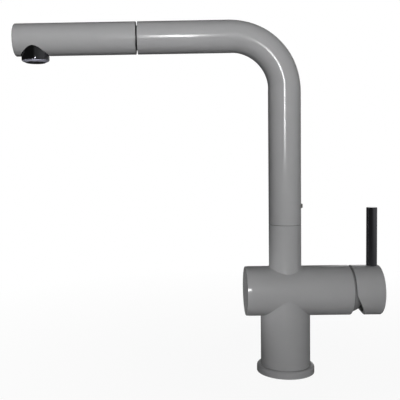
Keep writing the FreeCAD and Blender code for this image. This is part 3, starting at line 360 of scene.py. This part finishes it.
def spin_outline(corners, rounds=None, steps=TURN_STEPS, lie=UP_COLUMN):
    """A turned solid from (radius, height) corners in mm. rounds maps a corner's number to its radius."""
    bm = bmesh.new()
    points = [bm.verts.new((radius * MM, 0, height * MM)) for radius, height in corners]
    on_axis = corners[0][0] == 0 and corners[-1][0] == 0
    for k in range(len(points) - (1 if on_axis else 0)):
        bm.edges.new((points[k], points[(k + 1) % len(points)]))
    for k, radius in (rounds or {}).items():
        bmesh.ops.bevel(bm, geom=[points[k]], offset=radius * MM, offset_type="OFFSET", segments=6,
                        profile=0.5, affect="VERTICES", material=-1)
    bmesh.ops.spin(bm, geom=bm.verts[:] + bm.edges[:], cent=(0, 0, 0), axis=(0, 0, 1), angle=math.tau,
                   steps=steps, use_merge=True)
    bmesh.ops.remove_doubles(bm, verts=bm.verts, dist=0.002 * MM)
    bmesh.ops.dissolve_degenerate(bm, edges=bm.edges, dist=0.001 * MM)
    bmesh.ops.recalc_face_normals(bm, faces=bm.faces)
    bm.transform(lie)
    return bm


def mesh_of(bm, name):
    """Writes a bmesh to a mesh that is smooth except across sharp edges."""
    for face in bm.faces:
        face.smooth = True
    mesh = bpy.data.meshes.new(name)
    bm.to_mesh(mesh)
    bm.free()
    mesh.set_sharp_from_angle(angle=SMOOTH_UNDER)
    return mesh


def smooth(mesh):
    """Shades a mesh smooth except across sharp edges."""
    for polygon in mesh.polygons:
        polygon.use_smooth = True
    mesh.set_sharp_from_angle(angle=SMOOTH_UNDER)


new_pieces = []


def new_piece(name, mesh, body, slot, stands_for=(), finish=None):
    """Puts a finished mesh on its body with its finish, in place of CAD nodes."""
    piece = bpy.data.objects.new(name, mesh)
    bpy.context.scene.collection.objects.link(piece)
    mesh.materials.clear()
    mesh.materials.append(finish or finishes[slot])
    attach(piece, body)
    if stands_for:
        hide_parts(*stands_for)
    new_pieces.append(piece)
    print("%-16s %6d faces" % (name, len(mesh.polygons)))
    return piece


def boolean(base, tools, operation):
    """The mesh of a base with tools joined to it or cut from it, all given as meshes."""
    scene = bpy.context.scene
    holder = bpy.data.objects.new("holder", base)
    scene.collection.objects.link(holder)
    helpers = []
    for tool in tools:
        helper = bpy.data.objects.new("helper", tool)
        scene.collection.objects.link(helper)
        step = holder.modifiers.new("step", "BOOLEAN")
        step.operation = operation
        step.solver = "EXACT"
        step.object = helper
        helpers.append(helper)
    graph = bpy.context.evaluated_depsgraph_get()
    result = bpy.data.meshes.new_from_object(holder.evaluated_get(graph), depsgraph=graph)
    for item in [holder] + helpers:
        bpy.data.objects.remove(item)
    return result


# %% [markdown]
# ## Plain rods for cutting and joining
#
# The next pieces are put together and hollowed with exact booleans, from plain solids that lie upright
# or along the barrel.

# %%
def solid(corners, rounds=None, lie=UP_COLUMN, steps=TURN_STEPS):
    return mesh_of(spin_outline(corners, rounds, steps, lie), "form")


def plain(radius, low, high, lie=UP_COLUMN, steps=TURN_STEPS):
    return solid([(0, low), (radius, low), (radius, high), (0, high)], lie=lie, steps=steps)


BARREL_RADIUS = (barrel_high.y - barrel_low.y) / 2 / MM
casting_low, casting_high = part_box("tap_body")
BARREL_END = casting_high.x / MM
NECK_TOP = casting_high.z / MM
AXIS = BARREL_HEIGHT / MM
NECK_RADIUS, COLUMN_RADIUS = 14.0, 21.45
print("barrel radius %.2f mm, ends at %.1f mm, neck top %.1f mm" % (BARREL_RADIUS, BARREL_END, NECK_TOP))

# %% [markdown]
# ## The saddle under the barrel
#
# The column's skin ends in a crisp saddle, where the crease under the barrel was dressed back with a
# rounded tool, 1.7 mm larger than the barrel and set 1.85 mm above its axis. The skin is spun as a ring
# with a rounded rim, and each point of the rim is then lifted to where the tool passed.

# %%
SKIN_INSIDE, CREASE_STEP, SADDLE_ROUND = 19.5, 0.6, 0.6
DRESSED_RADIUS, DRESSED_RISE = 23.35, 1.85


def column_skin():
    half_way = AXIS / 2
    skin = spin_outline([(SKIN_INSIDE, 0), (COLUMN_RADIUS, 0), (COLUMN_RADIUS, half_way),
                         (SKIN_INSIDE, half_way)], {2: SADDLE_ROUND})
    for vertex in skin.verts:
        if vertex.co.z > half_way / 2 * MM:
            passed = math.sqrt((DRESSED_RADIUS * MM) ** 2 - vertex.co.y ** 2)
            vertex.co.z += (AXIS + DRESSED_RISE - half_way) * MM - passed
    return mesh_of(skin, "column_skin")


# %% [markdown]
# ## The fillet round the neck
#
# The neck meets the barrel in a 1 mm fillet. A fillet is what a ball leaves as it rolls along a crease:
# its centre keeps a radius from both walls, and the hollow runs from where it touches one to where it
# touches the other. A ring is spun with the hollow's points in order and one point behind them, and each
# is moved to its place. The ball is sunk a hundredth of a millimetre into both walls, so that the boolean
# finds a clean crossing.

# %%
FILLET, SUNK, HOLLOW_STEPS = 1.0, 0.01, 8
RING_START, BEHIND = 20, 1.9


def neck_fillet():
    hollow = [(k / HOLLOW_STEPS + RING_START, 0) for k in range(HOLLOW_STEPS + 1)]
    ring = spin_outline(hollow + [(RING_START + 0.5, -1)])
    for vertex in ring.verts:
        along = Vector((vertex.co.x, vertex.co.y, 0))
        inside = vertex.co.z < -0.5 * MM
        share = 0.5 if inside else along.length / MM - RING_START
        away = along.normalized()
        ball = away * (NECK_RADIUS + FILLET - SUNK)
        ball.z = math.sqrt((BARREL_RADIUS + FILLET - SUNK) ** 2 - ball.y ** 2)
        to_barrel = -Vector((0, ball.y, ball.z)).normalized()
        touch = (-away).slerp(to_barrel, share) * FILLET * (BEHIND if inside else 1.0)
        vertex.co = (ball + touch + Vector((0, 0, AXIS))) * MM
    bmesh.ops.recalc_face_normals(ring, faces=ring.faces)
    return mesh_of(ring, "neck_fillet")


# %% [markdown]
# ## Barrel, neck and column
#
# On the real tap these are one casting, cored for the cartridge and the hose. The forms above are
# joined, then hollowed.

# %%
CHAMBER_FLOOR, CHAMBER_RADIUS, NUT_START, THREAD_RADIUS = 27.0, 17.6, 47.0, 18.6
BLOCK_RADIUS, BLOCK_HEIGHT, HOSE_PASSAGE = 19.0, 16.0, 7.5
BUSH_RADIUS, BUSH_START = 11.2, 92.0
EDGE_ROUND, RING_SPACING = 0.5, 3


def make_casting():
    left = casting_low.x / MM
    rings = [(BARREL_RADIUS, step * RING_SPACING) for step in range(-8, 9)]
    barrel_ends = [(BARREL_RADIUS, BARREL_END), (0, BARREL_END)]
    barrel = solid([(0, left), (BARREL_RADIUS, left)] + rings + barrel_ends, {len(rings) + 2: EDGE_ROUND},
                   ALONG_BARREL)
    neck = solid([(0, AXIS), (NECK_RADIUS, AXIS), (NECK_RADIUS, NECK_TOP - 20), (NECK_RADIUS, NECK_TOP),
                  (0, NECK_TOP)], {3: EDGE_ROUND})
    core = plain(COLUMN_RADIUS - CREASE_STEP, 0, AXIS)
    joined = boolean(barrel, [neck, core, column_skin(), neck_fillet()], "UNION")
    chamber = solid([(0, CHAMBER_FLOOR), (CHAMBER_RADIUS, CHAMBER_FLOOR), (CHAMBER_RADIUS, NUT_START),
                     (THREAD_RADIUS, NUT_START), (THREAD_RADIUS, BARREL_END + 1), (0, BARREL_END + 1)],
                    lie=ALONG_BARREL)
    hollows = [plain(BLOCK_RADIUS, -1, BLOCK_HEIGHT), plain(HOSE_PASSAGE, 1, NECK_TOP + 1),
               plain(BUSH_RADIUS, BUSH_START, NECK_TOP + 1), chamber]
    return boolean(joined, hollows, "DIFFERENCE")


casting = make_casting()
smooth(casting)
new_piece("cast_body", casting, "tap", "grey_lacquer", ["tap_body"])

# %% [markdown]
# ## End disc, foot ring and bonnet
#
# Three turned pieces. The disc that closes the barrel has a slight taper, which catches the light. The
# foot has a rounded edge. The domed collar shows in the gap below the cap. It lets the cap tilt, because
# its outline is close to a circle about the lever's pivot.

# %%
DISC_THICK, DISC_TAPER, DISC_ROUND = 3.0, 0.26, 0.25
DISC_END = -barrel_low.x / MM
DISC_BACK, SPIGOT_RADIUS, SPIGOT_DEEP = DISC_END - DISC_THICK, 17.0, 1.5
disc = spin_outline([(0, DISC_END), (BARREL_RADIUS - DISC_TAPER, DISC_END), (BARREL_RADIUS, DISC_BACK),
                     (SPIGOT_RADIUS, DISC_BACK), (SPIGOT_RADIUS, DISC_BACK - SPIGOT_DEEP),
                     (0, DISC_BACK - SPIGOT_DEEP)], {1: DISC_ROUND}, lie=LEFT_ALONG_BARREL)
new_piece("end_disc", mesh_of(disc, "end_disc"), "tap", "grey_lacquer", ["barrel_end_disc"])

foot_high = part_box("base_flange")[1]
FOOT_RADIUS, FOOT_HEIGHT, FOOT_BORE, FOOT_ROUND = foot_high.x / MM, foot_high.z / MM, 21.5, 2.0
GROOVE_IN, GROOVE_OUT, GROOVE_TOP = 22.4, 24.0, 1.5
foot = spin_outline([(FOOT_BORE, 0), (GROOVE_IN, 0), (GROOVE_IN, GROOVE_TOP), (GROOVE_OUT, GROOVE_TOP),
                     (GROOVE_OUT, 0), (FOOT_RADIUS, 0), (FOOT_RADIUS, FOOT_HEIGHT), (FOOT_BORE, FOOT_HEIGHT)],
                    {6: FOOT_ROUND})
new_piece("foot_ring", mesh_of(foot, "foot_ring"), "tap", "grey_lacquer", ["base_flange"])

COLLAR_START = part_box("bonnet")[0].x / MM
COLLAR_INSIDE, COLLAR_NECK, COLLAR_RADIUS, COLLAR_MOUTH = 16.9, 18.3, 18.97, 12.2
SHOULDER, DOME_MIDDLE, COLLAR_END, DOME_ROUND = 57.3, (17.86, 61.3), 64.5, 4.1
collar = spin_outline([
    (COLLAR_INSIDE, COLLAR_START), (COLLAR_NECK, COLLAR_START), (COLLAR_NECK, BARREL_END),
    (COLLAR_RADIUS, BARREL_END), (COLLAR_RADIUS, SHOULDER), DOME_MIDDLE, (15.2, COLLAR_END),
    (COLLAR_MOUTH, COLLAR_END), (COLLAR_MOUTH, 63.1), (14.4, 63.1), (COLLAR_INSIDE, 58.6)],
    {5: DOME_ROUND}, lie=ALONG_BARREL)
# The collar's darker enamel is painted shade for the gap below the cap.
new_piece("domed_collar", mesh_of(collar, "domed_collar"), "tap", "grey_lacquer", ["bonnet"], collar_painted_shade_enamel)

# %% [markdown]
# ## Lever cap
#
# The cap is turned hollow, then the lower half of its rim is cut away on a slant, so that it clears the
# barrel when the lever tilts. `bmesh.ops.bisect_plane` makes that cut, and the open edge is filled.

# %%
cap_low, cap_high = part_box("lever_cap")
CAP_RIM, CAP_END = cap_low.x / MM, cap_high.x / MM
CAP_BORE, CAP_FLOOR, CAP_KNEE, CAP_SLANT = 19.3, 70.5, 0.5, math.radians(27.4)
CAP_ROUND, RIM_ROUND = 0.8, 0.5
cap = spin_outline([(0, CAP_FLOOR), (CAP_BORE, CAP_FLOOR), (CAP_BORE, CAP_RIM), (BARREL_RADIUS, CAP_RIM),
                    (BARREL_RADIUS, CAP_END), (0, CAP_END)], {4: CAP_ROUND, 3: RIM_ROUND}, lie=ALONG_BARREL)
knee = Vector((CAP_RIM, 0, AXIS - CAP_KNEE)) * MM
slope = Vector((math.cos(CAP_SLANT), 0, math.sin(CAP_SLANT)))
bmesh.ops.bisect_plane(cap, geom=cap.verts[:] + cap.edges[:] + cap.faces[:], plane_co=knee, plane_no=slope,
                       clear_inner=True, dist=0.001 * MM)
open_edges = [edge for edge in cap.edges if edge.is_boundary]
bmesh.ops.triangle_fill(cap, use_beauty=True, edges=open_edges)
bmesh.ops.recalc_face_normals(cap, faces=cap.faces)
print("open edges left in the cap:", sum(edge.is_boundary for edge in cap.edges))

# %% [markdown]
# ## Holes in the cap
#
# The pin stands in a round seat, the stem ends in a square socket and the grub screw sits in a hole on
# the underside. A cube and two rods cut them.

# %%
pin_low, pin_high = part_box("lever_pin")
stem_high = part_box("lever_stem")[1]
PIN_X = (pin_low.x + pin_high.x) / 2 / MM
PIN_PLACE = Matrix.Translation((PIN_X * MM, 0, 0))
PIN_RADIUS = (pin_high.x - pin_low.x) / 2 / MM
PIN_SEAT, PLAY, STEM_SIDE, GRUB_RADIUS = 19.7, 0.05, 8.0, 2.5


def drill_cap(whole):
    socket = bmesh.new()
    bmesh.ops.create_cube(socket, size=1.0)
    deep = stem_high.x / MM - CAP_FLOOR + 1
    wide = STEM_SIDE + 2 * PLAY
    bmesh.ops.scale(socket, verts=socket.verts, vec=Vector((deep, wide, wide)) * MM)
    bmesh.ops.translate(socket, verts=socket.verts, vec=Vector((stem_high.x / MM - deep / 2, 0, AXIS)) * MM)
    holes = [mesh_of(socket, "socket"),
             plain(PIN_RADIUS + PLAY, AXIS + PIN_SEAT, AXIS + 2 * PIN_SEAT, PIN_PLACE, steps=96),
             plain(GRUB_RADIUS + PLAY, AXIS - 2 * PIN_SEAT, AXIS - STEM_SIDE / 2, PIN_PLACE, steps=48)]
    return boolean(whole, holes, "DIFFERENCE")


drilled = drill_cap(mesh_of(cap, "whole_cap"))
smooth(drilled)
new_piece("tilting_cap", drilled, "lever", "grey_lacquer", ["lever_cap"])

# %% [markdown]
# ## Lever pin
#
# A plain polished rod, its top edge broken with a small round, on a stud that reaches the stem.

# %%
PIN_TOP, STUD_RADIUS, PIN_ROUND = pin_high.z / MM, 3.0, 0.7
pin = spin_outline([(0, pin_low.z / MM), (STUD_RADIUS, pin_low.z / MM), (STUD_RADIUS, AXIS + PIN_SEAT),
                    (PIN_RADIUS, AXIS + PIN_SEAT), (PIN_RADIUS, PIN_TOP), (0, PIN_TOP)],
                   {4: PIN_ROUND}, lie=PIN_PLACE, steps=96)
new_piece("lever_rod", mesh_of(pin, "lever_rod"), "lever", "dark_chrome", ["lever_pin"])

# %% [markdown]
# ## Spout
#
# One tube, bent once. A ring of points is extruded up, spun through a quarter turn about the bend's
# centre and extruded again. A tube flattens a little where it is bent, here by a third of a millimetre on
# each side. Where it starts and ends sets the width of the seams. Solidify gives it its wall and Bevel
# breaks its two edges.

# %%
spout_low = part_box("spout_tube")[0]
BEND_RADIUS, TUBE_WALL, FLATTENED = 46.5 * MM, 1.2 * MM, 0.35 * MM
TUBE_START, TUBE_MOUTH = spout_low.z - 0.4 * MM, spout_low.x + 0.25 * MM
UPRIGHT_RINGS, BEND_RINGS, REACH_RINGS, EDGE_BREAK = 8, 64, 6, 0.35 * MM


def make_spout():
    bm = bmesh.new()
    bmesh.ops.create_circle(bm, segments=TURN_STEPS, radius=TUBE_RADIUS,
                            matrix=Matrix.Translation((0, 0, TUBE_START)))
    ring = bm.edges[:]

    def pull(edges, move, count):
        for k in range(count):
            made = bmesh.ops.extrude_edge_only(bm, edges=edges)["geom"]
            moved = [item for item in made if isinstance(item, bmesh.types.BMVert)]
            bmesh.ops.translate(bm, verts=moved, vec=move / count)
            edges = [item for item in made if isinstance(item, bmesh.types.BMEdge)
                     and all(vertex in moved for vertex in item.verts)]
        return edges

    bend_centre = Vector((-BEND_RADIUS, 0, TUBE_HEIGHT - BEND_RADIUS))
    ring = pull(ring, Vector((0, 0, bend_centre.z - TUBE_START)), UPRIGHT_RINGS)
    swept = bmesh.ops.spin(bm, geom=ring + list({vertex for edge in ring for vertex in edge.verts}),
                           cent=bend_centre, axis=(0, 1, 0), angle=math.radians(-90),
                           steps=BEND_RINGS)["geom_last"]
    ring = [item for item in swept if isinstance(item, bmesh.types.BMEdge)]
    pull(ring, Vector((TUBE_MOUTH + BEND_RADIUS, 0, 0)), REACH_RINGS)
    for vertex in bm.verts:
        arm = Vector((vertex.co.x, 0, vertex.co.z)) - bend_centre
        if arm.x > 0 and arm.z > 0:
            bent = 1 - (1 - math.sin(2 * math.atan2(arm.z, arm.x))) ** 4
            vertex.co += arm.normalized() * (BEND_RADIUS - arm.length) * FLATTENED / TUBE_RADIUS * bent
    bmesh.ops.remove_doubles(bm, verts=bm.verts, dist=0.001 * MM)
    bmesh.ops.recalc_face_normals(bm, faces=bm.faces)
    return bm


tube = mesh_of(make_spout(), "bent_spout")
spout_piece = new_piece("bent_spout", tube, "spout", "grey_lacquer", ["spout_tube"])
wall = spout_piece.modifiers.new("wall", "SOLIDIFY")
wall.thickness = TUBE_WALL
wall.offset = -1.0
edge_break = spout_piece.modifiers.new("broken_edges", "BEVEL")
edge_break.width = EDGE_BREAK
edge_break.segments = 3
edge_break.limit_method = "ANGLE"
edge_break.angle_limit = math.radians(50)

# %% [markdown]
# ## Spray head
#
# The head is a closed tube in line with the spout. Its nozzle stands in a round hole, cut with a boolean.

# %%
SEAM_EXTRA = 0.35
HEAD_START, HEAD_END = -tube_high.x / MM + SEAM_EXTRA, -tube_low.x / MM
HEAD_WALL, HEAD_END_WALL, NOZZLE_HOLE, END_ROUND, SEAM_ROUND = 1.4, 2.0, 12.4, 0.9, 0.35
HEAD_RADIUS = TUBE_RADIUS / MM
NOZZLE_PLACE = Matrix.Translation((NOZZLE_X, 0, 0))
shell = solid([(0, HEAD_END - HEAD_END_WALL), (HEAD_RADIUS - HEAD_WALL, HEAD_END - HEAD_END_WALL),
               (HEAD_RADIUS - HEAD_WALL, HEAD_START), (HEAD_RADIUS, HEAD_START), (HEAD_RADIUS, HEAD_END),
               (0, HEAD_END)], {4: END_ROUND, 3: SEAM_ROUND}, ALONG_SPOUT)
drill = plain(NOZZLE_HOLE, TUBE_HEIGHT / MM - 2 * HEAD_RADIUS, TUBE_HEIGHT / MM, NOZZLE_PLACE)
shell = boolean(shell, [drill], "DIFFERENCE")
smooth(shell)
new_piece("spray_head_shell", shell, "spray_head", "grey_lacquer", ["handset_shell"], head_enamel)

# %% [markdown]
# ## Nozzle
#
# A black chrome ring whose bevel carries a painted reflection, a thin pale line. The rounded edge above the
# bevel mirrors the flash. In the ring's mouth is the black face of the aerator with its ring of fine holes.

# %%
AXIS_UP = TUBE_HEIGHT / MM
NOZZLE_RADIUS, NOZZLE_BORE, NOZZLE_MOUTH = (nozzle_high.y - nozzle_low.y) / 2 / MM, 10.4, 8.35
NOZZLE_TOP, NOZZLE_LOW = nozzle_high.z / MM, nozzle_low.z / MM
NOZZLE_EDGE, NOZZLE_SHELF, WALL_RING = AXIS_UP - 18.0, AXIS_UP - 16.8, 1.5
NOZZLE_ROUND, MOUTH_ROUND = 0.9, 0.15
nozzle = spin_outline([(NOZZLE_BORE, NOZZLE_TOP), (NOZZLE_RADIUS, NOZZLE_TOP),
                       (NOZZLE_RADIUS, NOZZLE_EDGE + WALL_RING), (NOZZLE_RADIUS, NOZZLE_EDGE),
                       (NOZZLE_MOUTH, NOZZLE_LOW), (NOZZLE_MOUTH, NOZZLE_SHELF), (NOZZLE_BORE, NOZZLE_SHELF)],
                      {3: NOZZLE_ROUND, 4: MOUTH_ROUND}, steps=128, lie=NOZZLE_PLACE)
new_piece("nozzle_ring", mesh_of(nozzle, "nozzle_ring"), "spray_head", "dark_chrome", ["nozzle_housing"])

# %% [markdown]
# ## Grub screws
#
# Small headless screws with a hexagon socket: one stands out at the back of the spout, one hides under
# the cap. A six-sided cone cut from a chamfered rod gives the socket.

# %%
def grub_screw(radius, start, end, lie, key):
    """A screw from start to end in millimetres, with a socket of that key width in its end."""
    rod_mesh = solid([(0, start), (radius, start), (radius, end), (0, end)], {1: 0.3, 2: 0.3}, lie, steps=48)
    bm = bmesh.new()
    bmesh.ops.create_cone(bm, segments=6, radius1=key / math.sqrt(3) * MM, radius2=key / math.sqrt(3) * MM,
                          depth=2 * radius * MM, cap_ends=True)
    bmesh.ops.translate(bm, verts=bm.verts, vec=(0, 0, end * MM))
    bm.transform(lie)
    bmesh.ops.recalc_face_normals(bm, faces=bm.faces)
    socket_mesh = bpy.data.meshes.new("socket")
    bm.to_mesh(socket_mesh)
    bm.free()
    screw = boolean(rod_mesh, [socket_mesh], "DIFFERENCE")
    smooth(screw)
    return screw


back_low, back_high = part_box("spout_grub_screw")
back_place = Matrix.Translation((0, 0, (back_low.z + back_high.z) / 2))
back_lie = back_place @ Matrix.Rotation(math.radians(90), 4, "Y")
back_screw = grub_screw((back_high.z - back_low.z) / 2 / MM, back_low.x / MM, back_high.x / MM, back_lie, 2.0)
new_piece("back_screw", back_screw, "spout", "stainless_steel", ["spout_grub_screw"])
under_low, under_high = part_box("cap_grub_screw")
under_place = Matrix.Translation(((under_low.x + under_high.x) / 2, 0, 0))
under_lie = under_place @ Matrix.Rotation(math.radians(180), 4, "X")
under_radius = (under_high.x - under_low.x) / 2 / MM
under_screw = grub_screw(under_radius, -under_high.z / MM, -under_low.z / MM, under_lie, 2.5)
new_piece("under_screw", under_screw, "lever", "stainless_steel", ["cap_grub_screw"])

# %% [markdown]
# ## Even shading
#
# Smooth shading blends a face with its neighbours, so a long flat wall would shade as if it bent towards
# its small rounded edge. The Weighted Normal modifier lets the larger faces decide.

# %%
for piece in new_pieces:
    shading = piece.modifiers.new("even_shading", "WEIGHTED_NORMAL")
    shading.keep_sharp = True
print("evenly shaded:", len(new_pieces))

# %% [markdown]
# ## Carried-over pieces
#
# The cartridge, the swivel, the hose and the water path keep their CAD meshes, which are fine enough.
# Each gets the finish that the record's slot names.

# %%
for name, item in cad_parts.items():
    for holder in item.material_slots:
        holder.material = finishes[holder.material.name]
    print("%-18s %s" % (name, ", ".join(holder.material.name for holder in item.material_slots)))

# %% [markdown]
# ## White background
#
# The world is plain white wherever the camera, a reflection or a clear piece looks at it, and gives no
# light of its own. `Light Path` tells which kind of ray is asking.

# %%
world = bpy.data.worlds.new("white_background")
bpy.context.scene.world = world
world.use_nodes = True
tree = world.node_tree
tree.nodes.clear()
ray = add_node(tree, "ShaderNodeLightPath")
looks = add_node(tree, "ShaderNodeMath", {"operation": "ADD"}, {
    0: ray.outputs["Is Camera Ray"], 1: ray.outputs["Is Glossy Ray"]})
looks = add_node(tree, "ShaderNodeMath", {"operation": "ADD", "use_clamp": True}, {
    0: looks.outputs[0], 1: ray.outputs["Is Transmission Ray"]})
white = add_node(tree, "ShaderNodeBackground", inputs={
    "Color": linear("#ffffff"), "Strength": looks.outputs[0]})
add_node(tree, "ShaderNodeOutputWorld", inputs={"Surface": white.outputs[0]})
print("background strength follows camera, glossy and transmission rays")

# %% [markdown]
# ## Pale floor
#
# A matt pale sheet. The camera sees it nearly white, with a soft part of the object's shadow near the
# foot that fades out within half a metre. Reflections see a dimmer sheet that glows brighter to the right:
# painted light, standing for the room's light falling on it.

# %%
FLOOR_SIZE, FLOOR_DROP, MOTTLE = 3.0, 0.02 * MM, 50 * MM
SHADOW_NEAR, SHADOW_FAR, SHOWN_WHITE = 0.08, 0.50, 0.94
# The floor's glow in reflections, from left to right, is painted light.
MIRRORED_LEFT, MIRRORED_RIGHT, LEFT_AT, RIGHT_AT = 0.055, 0.30, -0.1, 1.0


def pale_floor():
    material, tree, place = new_material("pale_floor")
    mottle = add_node(tree, "ShaderNodeTexNoise", inputs={"Vector": place, "Scale": 1 / MOTTLE})
    tint = add_node(tree, "ShaderNodeMix", {"data_type": "RGBA"}, {
        0: mottle.outputs["Fac"], 6: linear("#5c5c5b"), 7: linear("#616160")})
    matt = add_node(tree, "ShaderNodeBsdfPrincipled", inputs={
        "Base Color": tint.outputs[2], "Roughness": 0.9, "Specular IOR Level": 0.1})
    reach = add_node(tree, "ShaderNodeVectorMath", {"operation": "LENGTH"}, {0: place})
    fade = add_node(tree, "ShaderNodeMapRange", inputs={
        "Value": reach.outputs["Value"], "From Min": SHADOW_NEAR, "From Max": SHADOW_FAR,
        "To Min": SHOWN_WHITE, "To Max": 1.0})
    ray = add_node(tree, "ShaderNodeLightPath")
    shown = add_node(tree, "ShaderNodeMath", {"operation": "MULTIPLY"}, {
        0: ray.outputs["Is Camera Ray"], 1: fade.outputs["Result"]})
    across = add_node(tree, "ShaderNodeSeparateXYZ", inputs={"Vector": place}).outputs["X"]
    # Painted light: the glow that reflections see rises to the right.
    dimmed = add_node(tree, "ShaderNodeMapRange", inputs={
        "Value": across, "From Min": LEFT_AT, "From Max": RIGHT_AT,
        "To Min": MIRRORED_LEFT, "To Max": MIRRORED_RIGHT})
    mirrored = add_node(tree, "ShaderNodeMath", {"operation": "MULTIPLY"}, {
        0: ray.outputs["Is Glossy Ray"], 1: dimmed.outputs["Result"]})
    share = add_node(tree, "ShaderNodeMath", {"operation": "ADD"}, {
        0: shown.outputs[0], 1: mirrored.outputs[0]})
    glow = add_node(tree, "ShaderNodeEmission", inputs={"Color": linear("#ffffff"), "Strength": 1.0})
    mix = add_node(tree, "ShaderNodeMixShader", inputs={
        "Fac": share.outputs[0], 1: matt.outputs["BSDF"], 2: glow.outputs["Emission"]})
    add_node(tree, "ShaderNodeOutputMaterial", inputs={"Surface": mix.outputs["Shader"]})
    return material


def stage_piece(name, bm, material):
    mesh = bpy.data.meshes.new(name)
    bm.to_mesh(mesh)
    bm.free()
    mesh.materials.append(material)
    item = bpy.data.objects.new(name, mesh)
    bpy.context.scene.collection.objects.link(item)
    item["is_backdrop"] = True
    return item


bm = bmesh.new()
bmesh.ops.create_grid(bm, x_segments=1, y_segments=1, size=FLOOR_SIZE)
bmesh.ops.translate(bm, verts=bm.verts, vec=(0, 0, -FLOOR_DROP))
floor = stage_piece("floor", bm, pale_floor())
print("floor:", len(floor.data.polygons), "face")

# %% [markdown]
# ## A dark room for the reflections
#
# Polished metal shows the room, and this photograph was taken in a dark one: the pin and the nozzle are
# nearly black. So a dark dome stands round the set. Its glow is a painted reflection of that room, a
# little brighter to the right. It has one window at the back, through which the white background lights up
# the pin's top. It is seen in reflections only, and casts no shadow.

# %%
DOME_RADIUS, WINDOW_FROM, WINDOW_TO, WINDOW_TOP = 2.8, math.radians(15), math.radians(25), 0.5
# The dome's glow below is a painted reflection, brighter to the right.
ROOM_LEFT, ROOM_RIGHT, DARK_UP_TO = 0.03, 0.27, -0.2


def dark_room():
    material, tree, place = new_material("dark_room")
    across = add_node(tree, "ShaderNodeSeparateXYZ", inputs={"Vector": place}).outputs["X"]
    level = add_node(tree, "ShaderNodeMapRange", inputs={
        "Value": across, "From Min": DARK_UP_TO * DOME_RADIUS, "From Max": DOME_RADIUS,
        "To Min": ROOM_LEFT, "To Max": ROOM_RIGHT})
    glow = add_node(tree, "ShaderNodeEmission", inputs={
        "Color": linear("#fdfffb"), "Strength": level.outputs["Result"]})
    add_node(tree, "ShaderNodeOutputMaterial", inputs={"Surface": glow.outputs["Emission"]})
    return material


bm = bmesh.new()
bmesh.ops.create_uvsphere(bm, u_segments=72, v_segments=36, radius=DOME_RADIUS)
opening = []
for face in bm.faces:
    middle = face.calc_center_median()
    in_window = WINDOW_FROM < math.atan2(middle.x, middle.y) < WINDOW_TO
    if middle.z < 0 or (in_window and middle.z < WINDOW_TOP * DOME_RADIUS):
        opening.append(face)
bmesh.ops.delete(bm, geom=opening, context="FACES")
dome = stage_piece("dark_dome", bm, dark_room())
dome.visible_camera = False
dome.visible_diffuse = False
dome.visible_shadow = False
dome.visible_transmission = False
print("dome:", len(dome.data.polygons), "faces")

# %% [markdown]
# ## Lamps
#
# An upright flash strip above the lens draws the narrow streaks. A wide soft box behind the camera gives
# most of the light. A grid on it, the small `spread`, keeps its beam on the spout, so the light falls off
# towards the foot. Boxes overhead, to the right and behind fill in, and a small spot lights the barrel's
# end. Only the flash shows in reflections.


# %%
def lamp(name, place, target, width, height, watts, shows, spread=180):
    """A lamp at a place in millimetres that faces a target, with its beam's spread in degrees."""
    light = bpy.data.lights.new(name, "AREA")
    light.shape = "RECTANGLE"
    light.size = width * MM
    light.size_y = height * MM
    light.energy = watts
    light.spread = math.radians(spread)
    item = bpy.data.objects.new(name, light)
    item.location = Vector(place) * MM
    item.rotation_euler = (Vector(target) * MM - item.location).to_track_quat("-Z", "Y").to_euler()
    item.visible_glossy = shows
    item.visible_camera = False
    bpy.context.scene.collection.objects.link(item)
    print("%-10s %6.3f W" % (name, watts))


lamp("flash", (-90, -766, 284), (-170, 0, 330), 40, 140, 0.62, True, spread=125)
lamp("front_box", (-60, -1800, 300), (-60, 0, 380), 1400, 1400, 5.65, False, spread=42)
lamp("high_box", (-94, -900, 520), (-94, 0, 300), 400, 400, 1.0, False, spread=110)
lamp("right_box", (1400, -1100, 300), (-60, 0, 160), 1400, 1400, 1.5, False)
lamp("back_box", (-30, 1900, 260), (-60, 0, 260), 600, 600, 7.0, False, spread=50)
lamp("left_spot", (-500, -120, 71), (-35, 0, 71), 60, 60, 0.008, False, spread=12)
bpy.context.scene.view_settings.view_transform = "Standard"

# %%
seen_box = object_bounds()
for label, box in (("CAD", cad_box), ("visual", seen_box)):
    print("%-7s" % label, ["%.2f" % (value / MM) for corner in box for value in corner])
